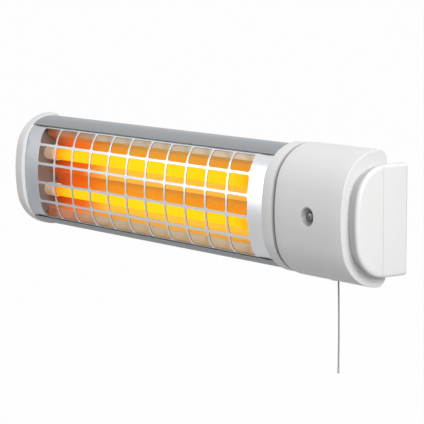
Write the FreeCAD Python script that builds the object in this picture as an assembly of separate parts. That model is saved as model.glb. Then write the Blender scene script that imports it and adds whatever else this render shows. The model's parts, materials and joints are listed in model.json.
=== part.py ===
"""Wall-mounted twin quartz-tube radiant heater with a pull-cord switch, tilting between two wall brackets.

Sizes are in millimetres. X runs along the heater, -Y points into the room and Z is up. The source works
about the middle of the grille, and export moves the origin to the wall, midway between the screw holes.
"""
import FreeCAD, Part
import math
import os

from FreeCAD import Vector

# Section of the rolled casing, measured from the wall and the tilt axis
wall_to_axis = 27.0
axis_to_nose = 27.0
casing_depth = 41.4
casing_half_height = 52.4
nose_radius = 137.0
shoulder_radius = 35.0
back_corner_radius = 5.0
casing_sheet = 1.0

# Grille
column_pitch = 30.0
column_count = 11
row_pitch = 18.4
row_count = 5
bar_width = 2.5
window_corner = 2.2
corner_steps = 2
grille_sheet = 0.8
grille_margin = 22.3
grille_tuck = 5.0
lip_reveal = 2.6

# Tubes and reflector
tube_half_spacing = 17.7
tube_behind_nose = 21.0
tube_diameter = 11.0
tube_bore = 8.6
winding_diameter = 7.0
winding_length = 296.0
reflector_sheet = 0.6
trough_radius = 20.0
trough_behind_tube = 10.5
trough_end_angle = 45.0
flare_angle = 60.0
flare_length = 8.0

# Ceramic holders, terminals and end plates of the heat chamber
plate_sheet = 1.0
plate_behind_ring = 13.3
plate_depth = 38.0
slit_length = 7.3
slit_width = 1.2
slit_angle = 32.0
slit_height = 40.4
slit_before_tube = 4.5
holder_diameter = 13.0
holder_inside = 15.0
holder_outside = 7.0
holder_socket = 8.5
blade_length = 7.0
blade_width = 6.3
blade_sheet = 0.8

# End cap and end ring of the heat section
ring_width = 14.2
ring_proud = 2.5
ring_wall = 6.0
ring_end_wall = 3.0
ring_round = 4.0

# Control box
groove_width = 4.1
neck_inset = 1.6
neck_wall = 2.4
neck_length = 9.0
box_length = 86.4
box_proud = 3.4
box_wall = 2.5
box_rim = 2.5
box_end_round = 6.0
box_screw_offset = 41.7
recess_diameter = 15.5
recess_floor_diameter = 10.0
recess_depth = 5.0
recess_wall = 2.0
box_screw_diameter = 4.0
box_screw_head = 8.0
box_screw_head_height = 2.6
box_screw_engagement = 10.0

# Chassis inside the control box
chassis_sheet = 1.5
chassis_length = 62.0
chassis_height = 62.0
chassis_behind_nose = 17.0
chassis_flange = 14.0
pillar_diameter = 10.0
block_length = 30.0
block_width = 15.0
block_height = 16.0
block_below_edge = 5.0
block_poles = 3
block_well_width = 5.0
block_well_depth = 6.0
cutout_diameter = 14.0
cutout_height = 7.0
cutout_blade_gap = 5.0

# Pull switch and its cord
switch_length = 34.0
switch_depth = 23.0
switch_height = 22.6
switch_bottom_height = 49.6
cord_offset = 36.0
cord_from_wall = 19.0
plunger_diameter = 7.0
plunger_length = 9.0
plunger_rest = 9.6
plunger_socket_diameter = 3.0
plunger_socket_depth = 3.0
switch_floor = 1.6
switch_mouth_diameter = 5.8
bush_diameter = 10.8
bush_flange_diameter = 15.0
bush_flange_height = 1.6
bush_throat_diameter = 6.4
bush_mouth_diameter = 8.4
bush_pad_height = 2.0
cord_diameter = 1.4
cord_hang = 78.0
tip_diameter = 1.8
tip_length = 5.0

# Right bracket, split at the tilt axis
bracket_gap = 0.5
bracket_width = 13.0
bracket_half_height = 45.5
bracket_nose = 27.4
bracket_nose_radius = 120.0
bracket_shoulder_radius = 30.0
bracket_back_corner = 2.5
bracket_wall = 2.2
bracket_bearing_wall = 3.2
bracket_face_bevel = 2.0
bracket_root_bevel = 1.6
parting_gap = 0.3
tab_root = 9.0
tab_reach = 4.0
tab_sheet = 1.6
wall_screw_height = 33.0
wall_screw_hole = 4.5
wall_screw_well = 7.6
wall_screw_seat = 6.0
well_boss_height = 14.0

# Right trunnion
trunnion_diameter = 18.0
trunnion_flange_diameter = 25.0
trunnion_flange = 2.4
trunnion_inside = 9.0
trunnion_nut_flats = 27.0
trunnion_nut_thickness = 6.0
friction_ring_thickness = 1.0

# Left bracket and its pivot
ear_thickness = 5.5
ear_radius = 14.0
foot_width = 20.0
foot_half_height = 42.0
foot_thickness = 6.0
foot_corner = 5.0
gusset_thickness = 4.0
gusset_height = 11.0
pivot_diameter = 8.0
pivot_head_diameter = 14.0
pivot_head_height = 4.0
pivot_boss_diameter = 18.0
pivot_boss_length = 9.0
pivot_nut_flats = 13.0
pivot_nut_thickness = 4.0
washer_thickness = 1.2
washer_diameter = 20.0

# Mains inlet in the back of the control box
grommet_offset = 62.0
grommet_drop = 30.0
grommet_bore = 7.2
grommet_neck = 11.0
grommet_flange = 15.0
grommet_flange_height = 1.5

# Clearances
running_clearance = 0.05
slip_clearance = 0.1
seat_clearance = 0.2
free_clearance = 0.3
point_gap = 0.01

# Places worked out from the sizes above
along_x = Vector(1, 0, 0)
along_y = Vector(0, 1, 0)
along_z = Vector(0, 0, 1)
axis_y = -wall_to_axis
nose_y = axis_y - axis_to_nose
back_y = nose_y + casing_depth
chamber_half = column_count * column_pitch / 2 + grille_margin
grille_skin = -casing_sheet - slip_clearance
spigot_skin = grille_skin - grille_sheet - slip_clearance
tube_y = nose_y + tube_behind_nose
plate_x = chamber_half - plate_behind_ring - plate_sheet
spigot_end_x = plate_x + plate_sheet + seat_clearance
holder_end_x = plate_x + plate_sheet + holder_outside
ring_end_x = chamber_half + ring_width
box_start_x = ring_end_x + groove_width
box_end_x = box_start_x + box_length
box_screw_x = box_start_x + box_screw_offset
cord_x = box_start_x + cord_offset
cord_y = -cord_from_wall
chassis_x = ring_end_x + seat_clearance
chassis_y = nose_y + chassis_behind_nose
chassis_back_y = chassis_y + chassis_sheet + slip_clearance
block_rise = chassis_height / 2 - block_below_edge - block_height / 2
bracket_start_x = box_end_x + bracket_gap
bracket_end_x = bracket_start_x + bracket_width
bearing_x = bracket_start_x + bracket_bearing_wall
flange_x = bearing_x + friction_ring_thickness + 2 * seat_clearance
ear_x = -(ring_end_x + washer_thickness + 2 * seat_clearance)
ear_end_x = ear_x - ear_thickness
foot_x = ear_x - foot_width
boss_end_x = -(ring_end_x - ring_end_wall - pivot_boss_length)
nut_x = boss_end_x + free_clearance
right_hole_x = bracket_start_x + bracket_width / 2
left_hole_x = (foot_x + ear_end_x) / 2
origin_x = (right_hole_x + left_hole_x) / 2
switch_bottom_z = -switch_bottom_height
pivot_z = switch_bottom_z + plunger_rest


def save(node, *solids):
    """Write one node's solids, with the origin moved to the wall between the screw holes."""
    shape = Part.makeCompound(list(solids)) if len(solids) > 1 else solids[0].copy()
    shape.translate(Vector(-origin_x, 0, 0))
    shape.exportStep("parts/" + node + ".step")


def arc(start, middle, end):
    """An arc edge through three points."""
    return Part.Arc(start, middle, end).toShape()


def rod(start, direction, length, diameter):
    """A round bar from a point along a direction."""
    return Part.makeCylinder(diameter / 2, length, start, direction)


def block(low, high):
    """A block between two corners given as (x, y, z)."""
    size = [b - a for a, b in zip(low, high)]
    return Part.makeBox(size[0], size[1], size[2], Vector(*low))


def plate(points, thickness):
    """A flat plate on a closed outline, with its thickness as a vector."""
    return Part.Face(Part.makePolygon(points + points[:1])).extrude(thickness)


def hexagon(start, thickness, flats):
    """A hexagonal bar along X, with two of its flats facing front and back."""
    corner = flats / math.sqrt(3)
    turns = [math.pi / 3 * (step + 0.5) for step in range(6)]
    points = [start + Vector(0, corner * math.cos(turn), corner * math.sin(turn)) for turn in turns]
    return plate(points, along_x * thickness)


def headed_pin(seat, inwards, diameter, length, head, head_height):
    """A plain shank under a drum head."""
    return rod(seat, inwards, length, diameter).fuse(rod(seat, -inwards, head_height, head))


def edges_at(shape, x):
    """The edges that lie in a plane across X."""
    return [edge for edge in shape.Edges
            if abs(edge.BoundBox.XMin - x) < point_gap and abs(edge.BoundBox.XMax - x) < point_gap]


class DSection:
    """A D-shaped section across X: a round nose, tighter shoulders and a flat back."""

    def __init__(self, front, back, half, front_radius, shoulder, corner):
        self.front = front
        self.back = back
        self.half = half
        self.front_radius = front_radius
        self.shoulder = shoulder
        self.front_centre = front + front_radius
        self.shoulder_z = half - shoulder
        reach = math.sqrt((front_radius - shoulder) ** 2 - self.shoulder_z ** 2)
        self.shoulder_y = self.front_centre - reach
        self.blend = math.atan2(self.shoulder_z, reach)
        self.corner = min(corner, back - self.shoulder_y)

    def offset(self, distance):
        """The same section grown outwards by a distance."""
        return DSection(self.front - distance, self.back + distance, self.half + distance,
                        self.front_radius + distance, self.shoulder + distance, self.corner + distance)

    def at(self, travel):
        """The point at a distance along the skin, up from the nose."""
        side = 1 if travel >= 0 else -1
        front_travel = self.front_radius * self.blend
        if abs(travel) <= front_travel:
            turn = abs(travel) / self.front_radius
            return Vector(0, self.front_centre - self.front_radius * math.cos(turn),
                          side * self.front_radius * math.sin(turn))
        return self.on_shoulder(0, self.blend + (abs(travel) - front_travel) / self.shoulder, side)

    def on_shoulder(self, x, turn, side):
        """The point on the upper or lower shoulder at an angle up from the front."""
        return Vector(x, self.shoulder_y - self.shoulder * math.cos(turn),
                      side * (self.shoulder_z + self.shoulder * math.sin(turn)))

    def height(self, y):
        """Half height of the section at a depth on its shoulder."""
        return self.shoulder_z + math.sqrt(self.shoulder ** 2 - (y - self.shoulder_y) ** 2)

    def side_edges(self, x, side):
        """The shoulder and back corner of the upper or lower side, and the point where they end."""
        turn = math.pi / 2
        if self.back < self.shoulder_y:
            turn = math.acos((self.shoulder_y - self.back) / self.shoulder)
        end = self.on_shoulder(x, turn, side)
        middle = self.on_shoulder(x, (self.blend + turn) / 2, side)
        edges = [arc(self.on_shoulder(x, self.blend, side), middle, end)]
        corner = max(self.corner, 0)
        corner_y = self.back - corner
        if corner_y > self.shoulder_y + point_gap:
            start = Vector(x, corner_y, side * self.half)
            edges.append(Part.makeLine(end, start))
            end = start
        if corner > point_gap:
            corner_z = self.half - corner
            diagonal = corner * math.sqrt(0.5)
            middle = Vector(x, corner_y + diagonal, side * (corner_z + diagonal))
            start = end
            end = Vector(x, self.back, side * corner_z)
            edges.append(arc(start, middle, end))
        return edges, end

    def prism(self, start, end):
        """A solid of this section between two places along X."""
        upper, upper_end = self.side_edges(start, 1)
        lower, lower_end = self.side_edges(start, -1)
        nose = arc(self.on_shoulder(start, self.blend, -1), Vector(start, self.front, 0),
                   self.on_shoulder(start, self.blend, 1))
        edges = [nose, Part.makeLine(upper_end, lower_end)] + upper + lower
        return Part.Face(Part.Wire(Part.__sortEdges__(edges))).extrude(along_x * (end - start))

    def tube(self, start, end, wall):
        """A tube of this section with a wall measured inwards."""
        return self.prism(start, end).cut(self.offset(-wall).prism(start, end))


casing_section = DSection(nose_y, back_y, casing_half_height, nose_radius, shoulder_radius,
                          back_corner_radius)
grille_section = casing_section.offset(grille_skin)
ring_section = casing_section.offset(ring_proud)
ring_inner = ring_section.offset(-ring_wall)
box_section = casing_section.offset(box_proud)
box_inner = box_section.offset(-box_wall)
bracket_section = DSection(axis_y - bracket_nose, 0, bracket_half_height, bracket_nose_radius,
                           bracket_shoulder_radius, bracket_back_corner)
lip_travel = row_count * row_pitch / 2 - bar_width / 2 + lip_reveal
lip_y = casing_section.at(lip_travel).y
tuck_y = casing_section.at(lip_travel + grille_tuck).y
recess_floor_y = box_section.front + recess_depth
pillar_y = recess_floor_y + recess_wall + seat_clearance
cord_exit_z = -box_section.height(cord_y)
cord_end_z = cord_exit_z - cord_hang
pad_z = -box_inner.height(cord_y) + bush_pad_height


def across(low_y, high_y):
    """A slab over the whole heater between two depths."""
    reach = 2 * casing_half_height
    return block((-2 * box_end_x, low_y, -reach), (2 * box_end_x, high_y, reach))


def tube_places():
    """Name and height of each tube."""
    return [("upper", tube_half_spacing), ("lower", -tube_half_spacing)]


def outer_casing():
    """Rolled sheet open to the front, its lips lying over the grille's long edges."""
    sheet = casing_section.tube(-chamber_half, chamber_half, casing_sheet)
    return sheet.common(across(lip_y, 0))


def window_cutter(row):
    """A cutter for one rounded window of a row, square to the sheet at the row's middle."""
    low = grille_section.at((row - 0.5) * row_pitch + bar_width / 2)
    high = grille_section.at((row + 0.5) * row_pitch - bar_width / 2)
    up = (high - low).normalize()
    out = up.cross(along_x)
    through = out * shoulder_radius / 2
    middle = (low + high - through) / 2
    inner_width = (column_pitch - bar_width) / 2 - window_corner
    inner_height = low.distanceToPoint(high) / 2 - window_corner
    points = []
    for quarter, (side_x, side_z) in enumerate(((1, 1), (-1, 1), (-1, -1), (1, -1))):
        for step in range(corner_steps + 1):
            turn = math.pi / 2 * (quarter + step / corner_steps)
            points.append(middle + along_x * (side_x * inner_width + window_corner * math.cos(turn))
                          + up * (side_z * inner_height + window_corner * math.sin(turn)))
    return plate(points, through)


def front_grille():
    """Curved pressed sheet with rows of rounded windows, tucked under the casing's lips."""
    end = chamber_half - slip_clearance
    sheet = grille_section.tube(-end, end, grille_sheet).common(across(2 * nose_y, tuck_y))
    cutters = []
    for row in range(row_count):
        cutter = window_cutter(row - (row_count - 1) / 2)
        for column in range(column_count):
            copy = cutter.copy()
            copy.translate(along_x * column_pitch * (column - (column_count - 1) / 2))
            cutters.append(copy)
    return sheet.cut(cutters)


def reflector():
    """Polished sheet with a trough behind each tube, a ridge between them and a flange each side."""
    end = plate_x - free_clearance
    centre_y = tube_y + trough_behind_tube - trough_radius
    trough_turn = math.radians(trough_end_angle)
    flare_turn = math.radians(flare_angle)
    flange_y = centre_y + trough_radius * math.cos(trough_turn) - flare_length * math.sin(flare_turn)
    flange_z = casing_section.offset(-casing_sheet - free_clearance).height(flange_y)

    def side_path(skin, side):
        radius = trough_radius + skin
        ridge_turn = -math.asin(tube_half_spacing / radius)
        crease = (trough_radius * math.cos(flare_turn - trough_turn) + skin) / radius
        crease_turn = flare_turn - math.acos(crease)

        def on_trough(angle):
            return Vector(-end, centre_y + radius * math.cos(angle),
                          side * (tube_half_spacing + radius * math.sin(angle)))

        flare_start = on_trough(crease_turn)
        bend_y = flange_y + skin
        flare = (flare_start.y - bend_y) / math.sin(flare_turn)
        bend = Vector(-end, bend_y, flare_start.z + side * flare * math.cos(flare_turn))
        top = Vector(-end, bend_y, side * flange_z)
        trough = arc(on_trough(ridge_turn), on_trough((ridge_turn + crease_turn) / 2), flare_start)
        return [trough, Part.makeLine(flare_start, bend), Part.makeLine(bend, top)], top

    edges = []
    for side in (1, -1):
        front_edges, front_top = side_path(0, side)
        back_edges, back_top = side_path(reflector_sheet, side)
        edges += front_edges + back_edges + [Part.makeLine(front_top, back_top)]
    return Part.Face(Part.Wire(Part.__sortEdges__(edges))).extrude(along_x * 2 * end)


def end_plate(side):
    """Plate closing the heat chamber, with holder holes and a slit in each corner."""
    section = casing_section.offset(spigot_skin - free_clearance)
    sheet = section.prism(side * plate_x, side * (plate_x + plate_sheet))
    sheet = sheet.common(across(2 * nose_y, nose_y + plate_depth))
    reach = plate_sheet * 3
    start = side * plate_x - reach
    cuts = []
    for name, z in tube_places():
        cuts.append(rod(Vector(start, tube_y, z), along_x, 2 * reach, holder_diameter + 2 * seat_clearance))
        up = 1 if z > 0 else -1
        slit = block((0, 0, -slit_width / 2), (2 * reach, slit_length, slit_width / 2))
        slit.rotate(Vector(), along_x, -up * slit_angle)
        slit.translate(Vector(start, tube_y - slit_before_tube, up * slit_height))
        cuts.append(slit)
    return sheet.cut(cuts)


def ceramic_holder(side, z):
    """Ceramic cap through the end plate, with the socket for a tube's end."""
    inner = Vector(side * (plate_x - holder_inside), tube_y, z)
    length = holder_inside + plate_sheet + holder_outside
    holder = rod(inner, along_x * side, length, holder_diameter)
    return holder.cut(rod(inner, along_x * side, holder_socket, tube_diameter + 2 * slip_clearance))


def tube_terminal(side, z):
    """Flat blade on the outer end of a ceramic holder."""
    ends = sorted((side * (holder_end_x + slip_clearance), side * (holder_end_x + blade_length)))
    return block((ends[0], tube_y - blade_width / 2, z - blade_sheet / 2),
                 (ends[1], tube_y + blade_width / 2, z + blade_sheet / 2))


def quartz_tube(z):
    """Satin quartz tube ending in the two ceramic holders."""
    half = plate_x - holder_inside + holder_socket - seat_clearance
    start = Vector(-half, tube_y, z)
    return rod(start, along_x, 2 * half, tube_diameter).cut(rod(start, along_x, 2 * half, tube_bore))


def heating_coil(z):
    """Outer form of the close winding inside a tube."""
    return rod(Vector(-winding_length / 2, tube_y, z), along_x, winding_length, winding_diameter)


def end_housing(side):
    """What the left cap and the right ring share: a proud ring, a wall and a spigot for the sheets."""
    start = side * chamber_half
    end = side * ring_end_x
    ring = ring_section.prism(start, end)
    if side < 0:
        ring = ring.makeFillet(ring_round, edges_at(ring, end))
    spigot = casing_section.offset(spigot_skin).prism(side * spigot_end_x, start)
    cavity = ring_inner.prism(side * spigot_end_x, side * (ring_end_x - ring_end_wall))
    return ring.fuse(spigot).cut(cavity)


def left_end_cap():
    """Left end of the heater, with the boss that turns on the pivot bolt."""
    inner_x = -(ring_end_x - ring_end_wall)
    boss = rod(Vector(inner_x, axis_y, 0), along_x, pivot_boss_length, pivot_boss_diameter)
    hole = rod(Vector(-ring_end_x, axis_y, 0), along_x, ring_end_wall + pivot_boss_length,
               pivot_diameter + 2 * running_clearance)
    return end_housing(-1).fuse(boss).cut(hole)


def right_end_ring():
    """Ring and partition beside the control box, with the neck that the box slides over."""
    neck_section = casing_section.offset(-neck_inset)
    return end_housing(1).fuse(neck_section.tube(ring_end_x, box_start_x + neck_length, neck_wall))


def control_box():
    """Moulded cup over the switch gear: D-section walls, a rounded end wall and a screw recess."""
    shell = box_section.prism(box_start_x, box_end_x)
    shell = shell.makeFillet(box_end_round, edges_at(shell, box_end_x))
    cavity_start = box_start_x + box_rim
    cavity = box_inner.prism(cavity_start, box_end_x - box_wall)
    mouth = casing_section.offset(slip_clearance - neck_inset).prism(box_start_x, cavity_start)
    recess_front = Vector(box_screw_x, box_section.front, 0)
    boss = rod(recess_front + along_y * box_wall / 2, along_y, recess_depth + recess_wall - box_wall / 2,
               recess_diameter + 2 * recess_wall)
    pad = rod(Vector(cord_x, cord_y, pad_z - bush_pad_height - box_wall / 2), along_z,
              bush_pad_height + box_wall / 2, bush_flange_diameter + box_wall)
    recess = Part.makeCone(recess_diameter / 2, recess_floor_diameter / 2, recess_depth,
                           recess_front, along_y)
    screw_hole = rod(recess_front, along_y, 2 * recess_depth, box_screw_diameter + 2 * seat_clearance)
    bush_hole = rod(Vector(cord_x, cord_y, 2 * cord_exit_z), along_z, -2 * cord_exit_z,
                    bush_diameter + 2 * slip_clearance)
    trunnion_hole = rod(Vector(box_end_x - 2 * box_wall, axis_y, 0), along_x, 3 * box_wall,
                        trunnion_diameter + 2 * running_clearance)
    inlet_hole = rod(Vector(box_start_x + grommet_offset, axis_y, -grommet_drop), along_y, wall_to_axis,
                     grommet_neck + 2 * running_clearance)
    shell = shell.cut([cavity, mouth]).fuse([boss, pad])
    return shell.cut([recess, screw_hole, bush_hole, trunnion_hole, inlet_hole])


def inside_box():
    """The room inside the control box, less a clearance."""
    return box_inner.offset(-free_clearance).prism(box_start_x + box_rim, box_end_x - box_wall)


def control_box_screw():
    """Front screw in the floor of the box's recess."""
    length = recess_wall + seat_clearance + box_screw_engagement
    return headed_pin(Vector(box_screw_x, recess_floor_y, 0), along_y, box_screw_diameter, length,
                      box_screw_head, box_screw_head_height)


def control_chassis():
    """Bent sheet on the partition, with the pillar that takes the box's front screw."""
    low_z = -chassis_height / 2
    high_z = chassis_height / 2
    sheet = block((chassis_x, chassis_y, low_z),
                  (chassis_x + chassis_length, chassis_y + chassis_sheet, high_z))
    flange = block((chassis_x, chassis_y, low_z),
                   (chassis_x + chassis_sheet, chassis_y + chassis_flange, high_z))
    front = Vector(box_screw_x, pillar_y, 0)
    pillar = rod(front, along_y, chassis_y - pillar_y, pillar_diameter)
    hole = rod(front, along_y, box_screw_engagement + free_clearance,
               box_screw_diameter + 2 * running_clearance)
    return sheet.fuse([flange, pillar]).cut(hole)


def terminal_block():
    """Moulded block on the chassis with a row of terminal wells."""
    middle_x = chassis_x + chassis_length / 2
    low = (middle_x - block_length / 2, chassis_back_y, block_rise - block_height / 2)
    high = (middle_x + block_length / 2, chassis_back_y + block_width, block_rise + block_height / 2)
    wells = []
    for pole in range(block_poles):
        x = low[0] + block_length / block_poles * (pole + 0.5)
        half = block_well_width / 2
        wells.append(block((x - half, high[1] - block_well_depth, block_rise - half),
                           (x + half, high[1], block_rise + half)))
    return block(low, high).cut(wells)


def thermal_cutout():
    """Disc cut-out seated on the right end plate, with two blades."""
    start = Vector(plate_x + plate_sheet + slip_clearance, tube_y, 0)
    blade_x = start.x + cutout_height
    blades = []
    for middle in (-cutout_blade_gap / 2, cutout_blade_gap / 2):
        blades.append(block((blade_x, tube_y - blade_width / 2, middle - blade_sheet / 2),
                            (blade_x + blade_length, tube_y + blade_width / 2, middle + blade_sheet / 2)))
    return rod(start, along_x, cutout_height, cutout_diameter).fuse(blades)


def pull_switch_body():
    """Switch case hung on the chassis and shaped to the box's underside, bored for the plunger."""
    case = block((cord_x - switch_length / 2, chassis_back_y, switch_bottom_z),
                 (cord_x + switch_length / 2, chassis_back_y + switch_depth, switch_bottom_z + switch_height))
    bore_length = plunger_rest - switch_floor + plunger_length + free_clearance
    bore = rod(Vector(cord_x, cord_y, switch_bottom_z + switch_floor), along_z, bore_length,
               plunger_diameter + 2 * running_clearance)
    mouth = rod(Vector(cord_x, cord_y, switch_bottom_z), along_z, switch_floor, switch_mouth_diameter)
    return case.common(inside_box()).cut([bore, mouth])


def switch_plunger():
    """Sliding plunger, with a socket that the cord's end swings in."""
    low = Vector(cord_x, cord_y, pivot_z)
    body = rod(low, along_z, plunger_length, plunger_diameter)
    return body.cut(rod(low, along_z, plunger_socket_depth, plunger_socket_diameter))


def cord_bush():
    """Trumpet bush through the underside of the box, its flange cut to the room inside."""
    mouth = Vector(cord_x, cord_y, cord_exit_z + slip_clearance)
    length = pad_z + bush_flange_height - mouth.z
    neck = rod(mouth, along_z, length, bush_diameter)
    flange = rod(Vector(cord_x, cord_y, pad_z), along_z, bush_flange_height, bush_flange_diameter)
    trumpet = Part.makeCone(bush_mouth_diameter / 2, bush_throat_diameter / 2, length, mouth, along_z)
    return neck.fuse(flange.common(inside_box())).cut(trumpet)


def pull_cord():
    """Straight hanging cord from the plunger's socket down to the ferrule."""
    low_z = cord_end_z + tip_length
    top_z = pivot_z + plunger_socket_depth / 2
    return rod(Vector(cord_x, cord_y, low_z), along_z, top_z - low_z, cord_diameter)


def cord_tip():
    """Ferrule that closes the cord's lower end, tapered at the bottom."""
    taper = tip_diameter / 4
    end = Vector(cord_x, cord_y, cord_end_z)
    cone = Part.makeCone(tip_diameter / 2 - taper, tip_diameter / 2, taper, end,
                         along_z)
    return cone.fuse(rod(end + along_z * taper, along_z, tip_length - taper, tip_diameter))


def trunnion():
    """Stub through the box's end wall, flanged inside the right bracket."""
    start_x = box_end_x - box_wall - trunnion_inside
    body = rod(Vector(start_x, axis_y, 0), along_x, flange_x - start_x, trunnion_diameter)
    return body.fuse(rod(Vector(flange_x, axis_y, 0), along_x, trunnion_flange, trunnion_flange_diameter))


def trunnion_nut():
    """Hexagonal nut that draws the trunnion against the end wall."""
    start = Vector(box_end_x - box_wall - slip_clearance - trunnion_nut_thickness, axis_y, 0)
    hole = rod(start, along_x, trunnion_nut_thickness, trunnion_diameter + 2 * running_clearance)
    return hexagon(start, trunnion_nut_thickness, trunnion_nut_flats).cut(hole)


def washer(start_x, thickness, diameter, bore):
    """A flat ring on the tilt axis."""
    start = Vector(start_x, axis_y, 0)
    hole = rod(start, along_x, thickness, bore + 2 * running_clearance)
    return rod(start, along_x, thickness, diameter).cut(hole)


def friction_washers():
    """Fibre washers that hold the tilt: one beside the left ear and one behind the trunnion's flange."""
    left = washer(ear_x + seat_clearance, washer_thickness, washer_diameter, pivot_diameter)
    right = washer(bearing_x + seat_clearance, friction_ring_thickness, trunnion_flange_diameter,
                   trunnion_diameter)
    return [left, right]


def bracket_half(low_y, high_y):
    """The part between two depths of the hollow right bracket, with its share of the bearing."""
    outer = bracket_section.prism(bracket_start_x, bracket_end_x)
    outer = outer.makeChamfer(bracket_face_bevel, edges_at(outer, bracket_end_x))
    outer = outer.makeChamfer(bracket_root_bevel, edges_at(outer, bracket_start_x))
    hollow = bracket_section.offset(-bracket_wall).prism(bearing_x, bracket_end_x - bracket_wall)
    bearing = rod(Vector(bracket_start_x, axis_y, 0), along_x, bracket_bearing_wall,
                  trunnion_diameter + 2 * running_clearance)
    return outer.cut([hollow, bearing]).common(across(low_y, high_y))


def bracket_foot_right():
    """Wall half of the right bracket, with a screw well above and below the bearing."""
    front_y = axis_y + parting_gap / 2
    inset = bracket_wall / 2
    bosses = []
    cuts = []
    for height in (-wall_screw_height, wall_screw_height):
        start = Vector(right_hole_x, front_y, height)
        bosses.append(block((bracket_start_x + inset, front_y, height - well_boss_height / 2),
                            (bracket_end_x - inset, -inset, height + well_boss_height / 2)))
        cuts.append(rod(start, along_y, -front_y, wall_screw_hole))
        cuts.append(rod(start, along_y, -front_y - wall_screw_seat, wall_screw_well))
    return bracket_half(front_y, 0).fuse(bosses).cut(cuts)


def bracket_cap_right():
    """Nose half of the right bracket, held to the foot by a tab above and below."""
    cap = bracket_half(2 * nose_y, axis_y - parting_gap / 2)
    inner_x = bearing_x + slip_clearance
    outer_x = bracket_end_x - bracket_wall - slip_clearance
    outside_z = bracket_section.offset(-bracket_wall).height(axis_y) - slip_clearance
    inside = bracket_section.offset(-bracket_wall / 2).prism(inner_x, outer_x)
    tabs = []
    for side in (-1, 1):
        tab_ends = sorted((side * outside_z, side * (outside_z - tab_sheet)))
        tabs.append(block((inner_x, axis_y - tab_root, tab_ends[0]),
                          (outer_x, axis_y + tab_reach, tab_ends[1])))
        root_ends = sorted((side * (outside_z - tab_sheet), side * bracket_half_height))
        root = block((inner_x, axis_y - tab_root, root_ends[0]),
                     (outer_x, axis_y - parting_gap, root_ends[1]))
        tabs.append(root.common(inside))
    return cap.fuse(tabs)


def bracket_left():
    """Left bracket: a foot on the wall, a round-ended ear on the pivot and two gussets."""
    flank = (foot_half_height + ear_radius) / 2
    corner = foot_corner
    foot = plate([Vector(ear_x, 0, foot_half_height), Vector(foot_x + corner, 0, foot_half_height),
                  Vector(foot_x, 0, foot_half_height - corner), Vector(foot_x, 0, corner - foot_half_height),
                  Vector(foot_x + corner, 0, -foot_half_height), Vector(ear_x, 0, -foot_half_height)],
                 -along_y * foot_thickness)
    ear = rod(Vector(ear_end_x, axis_y, 0), along_x, ear_thickness, 2 * ear_radius)
    web = plate([Vector(ear_end_x, axis_y, ear_radius), Vector(ear_end_x, -foot_thickness, flank),
                 Vector(ear_end_x, -foot_thickness, -flank), Vector(ear_end_x, axis_y, -ear_radius)],
                along_x * ear_thickness)
    gussets = []
    for middle in (-ear_radius, ear_radius):
        low = Vector(ear_end_x, -foot_thickness, middle - gusset_thickness / 2)
        gussets.append(plate([low, low - along_x * gusset_height, low - along_y * gusset_height],
                             along_z * gusset_thickness))
    pivot = Vector(ear_end_x, axis_y, 0)
    cuts = [rod(pivot, along_x, ear_thickness, pivot_diameter + 2 * running_clearance)]
    for height in (-wall_screw_height, wall_screw_height):
        hole = Vector(left_hole_x, -foot_thickness, height)
        cuts.append(rod(hole, along_y, foot_thickness, wall_screw_hole))
    return foot.fuse([ear, web] + gussets).cut(cuts)


def pivot_bolt():
    """Shoulder bolt through the ear and the left cap's boss."""
    seat = Vector(ear_end_x - slip_clearance, axis_y, 0)
    return headed_pin(seat, along_x, pivot_diameter, nut_x + pivot_nut_thickness - seat.x,
                      pivot_head_diameter, pivot_head_height)


def pivot_nut():
    """Nut on the bolt's end inside the left cap."""
    start = Vector(nut_x, axis_y, 0)
    hole = rod(start, along_x, pivot_nut_thickness, pivot_diameter + 2 * running_clearance)
    return hexagon(start, pivot_nut_thickness, pivot_nut_flats).cut(hole)


def mains_grommet():
    """Rubber grommet in the back wall of the box, flanged outside."""
    low = Vector(box_start_x + grommet_offset, box_section.back - box_wall, -grommet_drop)
    length = box_wall + slip_clearance + grommet_flange_height
    flange_low = low + along_y * (length - grommet_flange_height)
    flange = rod(flange_low, along_y, grommet_flange_height, grommet_flange)
    bore = rod(low, along_y, length, grommet_bore)
    return rod(low, along_y, length, grommet_neck).fuse(flange).cut(bore)


def build():
    """Write every node."""
    os.makedirs("parts", exist_ok=True)
    save("bracket_foot_right", bracket_foot_right())
    save("bracket_cap_right", bracket_cap_right())
    save("bracket_left", bracket_left())
    save("pivot_bolt_left", pivot_bolt())
    save("pivot_nut_left", pivot_nut())
    save("friction_washers", *friction_washers())
    save("outer_casing", outer_casing())
    save("front_grille", front_grille())
    save("reflector", reflector())
    for name, side in (("left", -1), ("right", 1)):
        save("end_plate_" + name, end_plate(side))
    for name, z in tube_places():
        save("quartz_tube_" + name, quartz_tube(z))
        save("heating_coil_" + name, heating_coil(z))
    ends = [(side, z) for side in (-1, 1) for name, z in tube_places()]
    save("ceramic_holders", *[ceramic_holder(side, z) for side, z in ends])
    save("tube_terminals", *[tube_terminal(side, z) for side, z in ends])
    save("left_end_cap", left_end_cap())
    save("right_end_ring", right_end_ring())
    save("control_box", control_box())
    save("control_box_screw", control_box_screw())
    save("control_chassis", control_chassis())
    save("terminal_block", terminal_block())
    save("thermal_cutout", thermal_cutout())
    save("pull_switch_body", pull_switch_body())
    save("switch_plunger", switch_plunger())
    save("cord_bush", cord_bush())
    save("pull_cord", pull_cord())
    save("cord_tip", cord_tip())
    save("trunnion_right", trunnion())
    save("trunnion_nut", trunnion_nut())
    save("mains_grommet", mains_grommet())


build()
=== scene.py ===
"""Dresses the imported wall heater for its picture.

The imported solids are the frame. This script lays finer skins over the pieces that show, gives every piece its
finish, hangs the pull cord and sets the studio. Sizes are in millimetres, and the studio's are in metres.
"""

import json
import logging
import math
from dataclasses import dataclass, replace
from enum import Enum
from typing import Any, Iterable, Optional, Sequence

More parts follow.
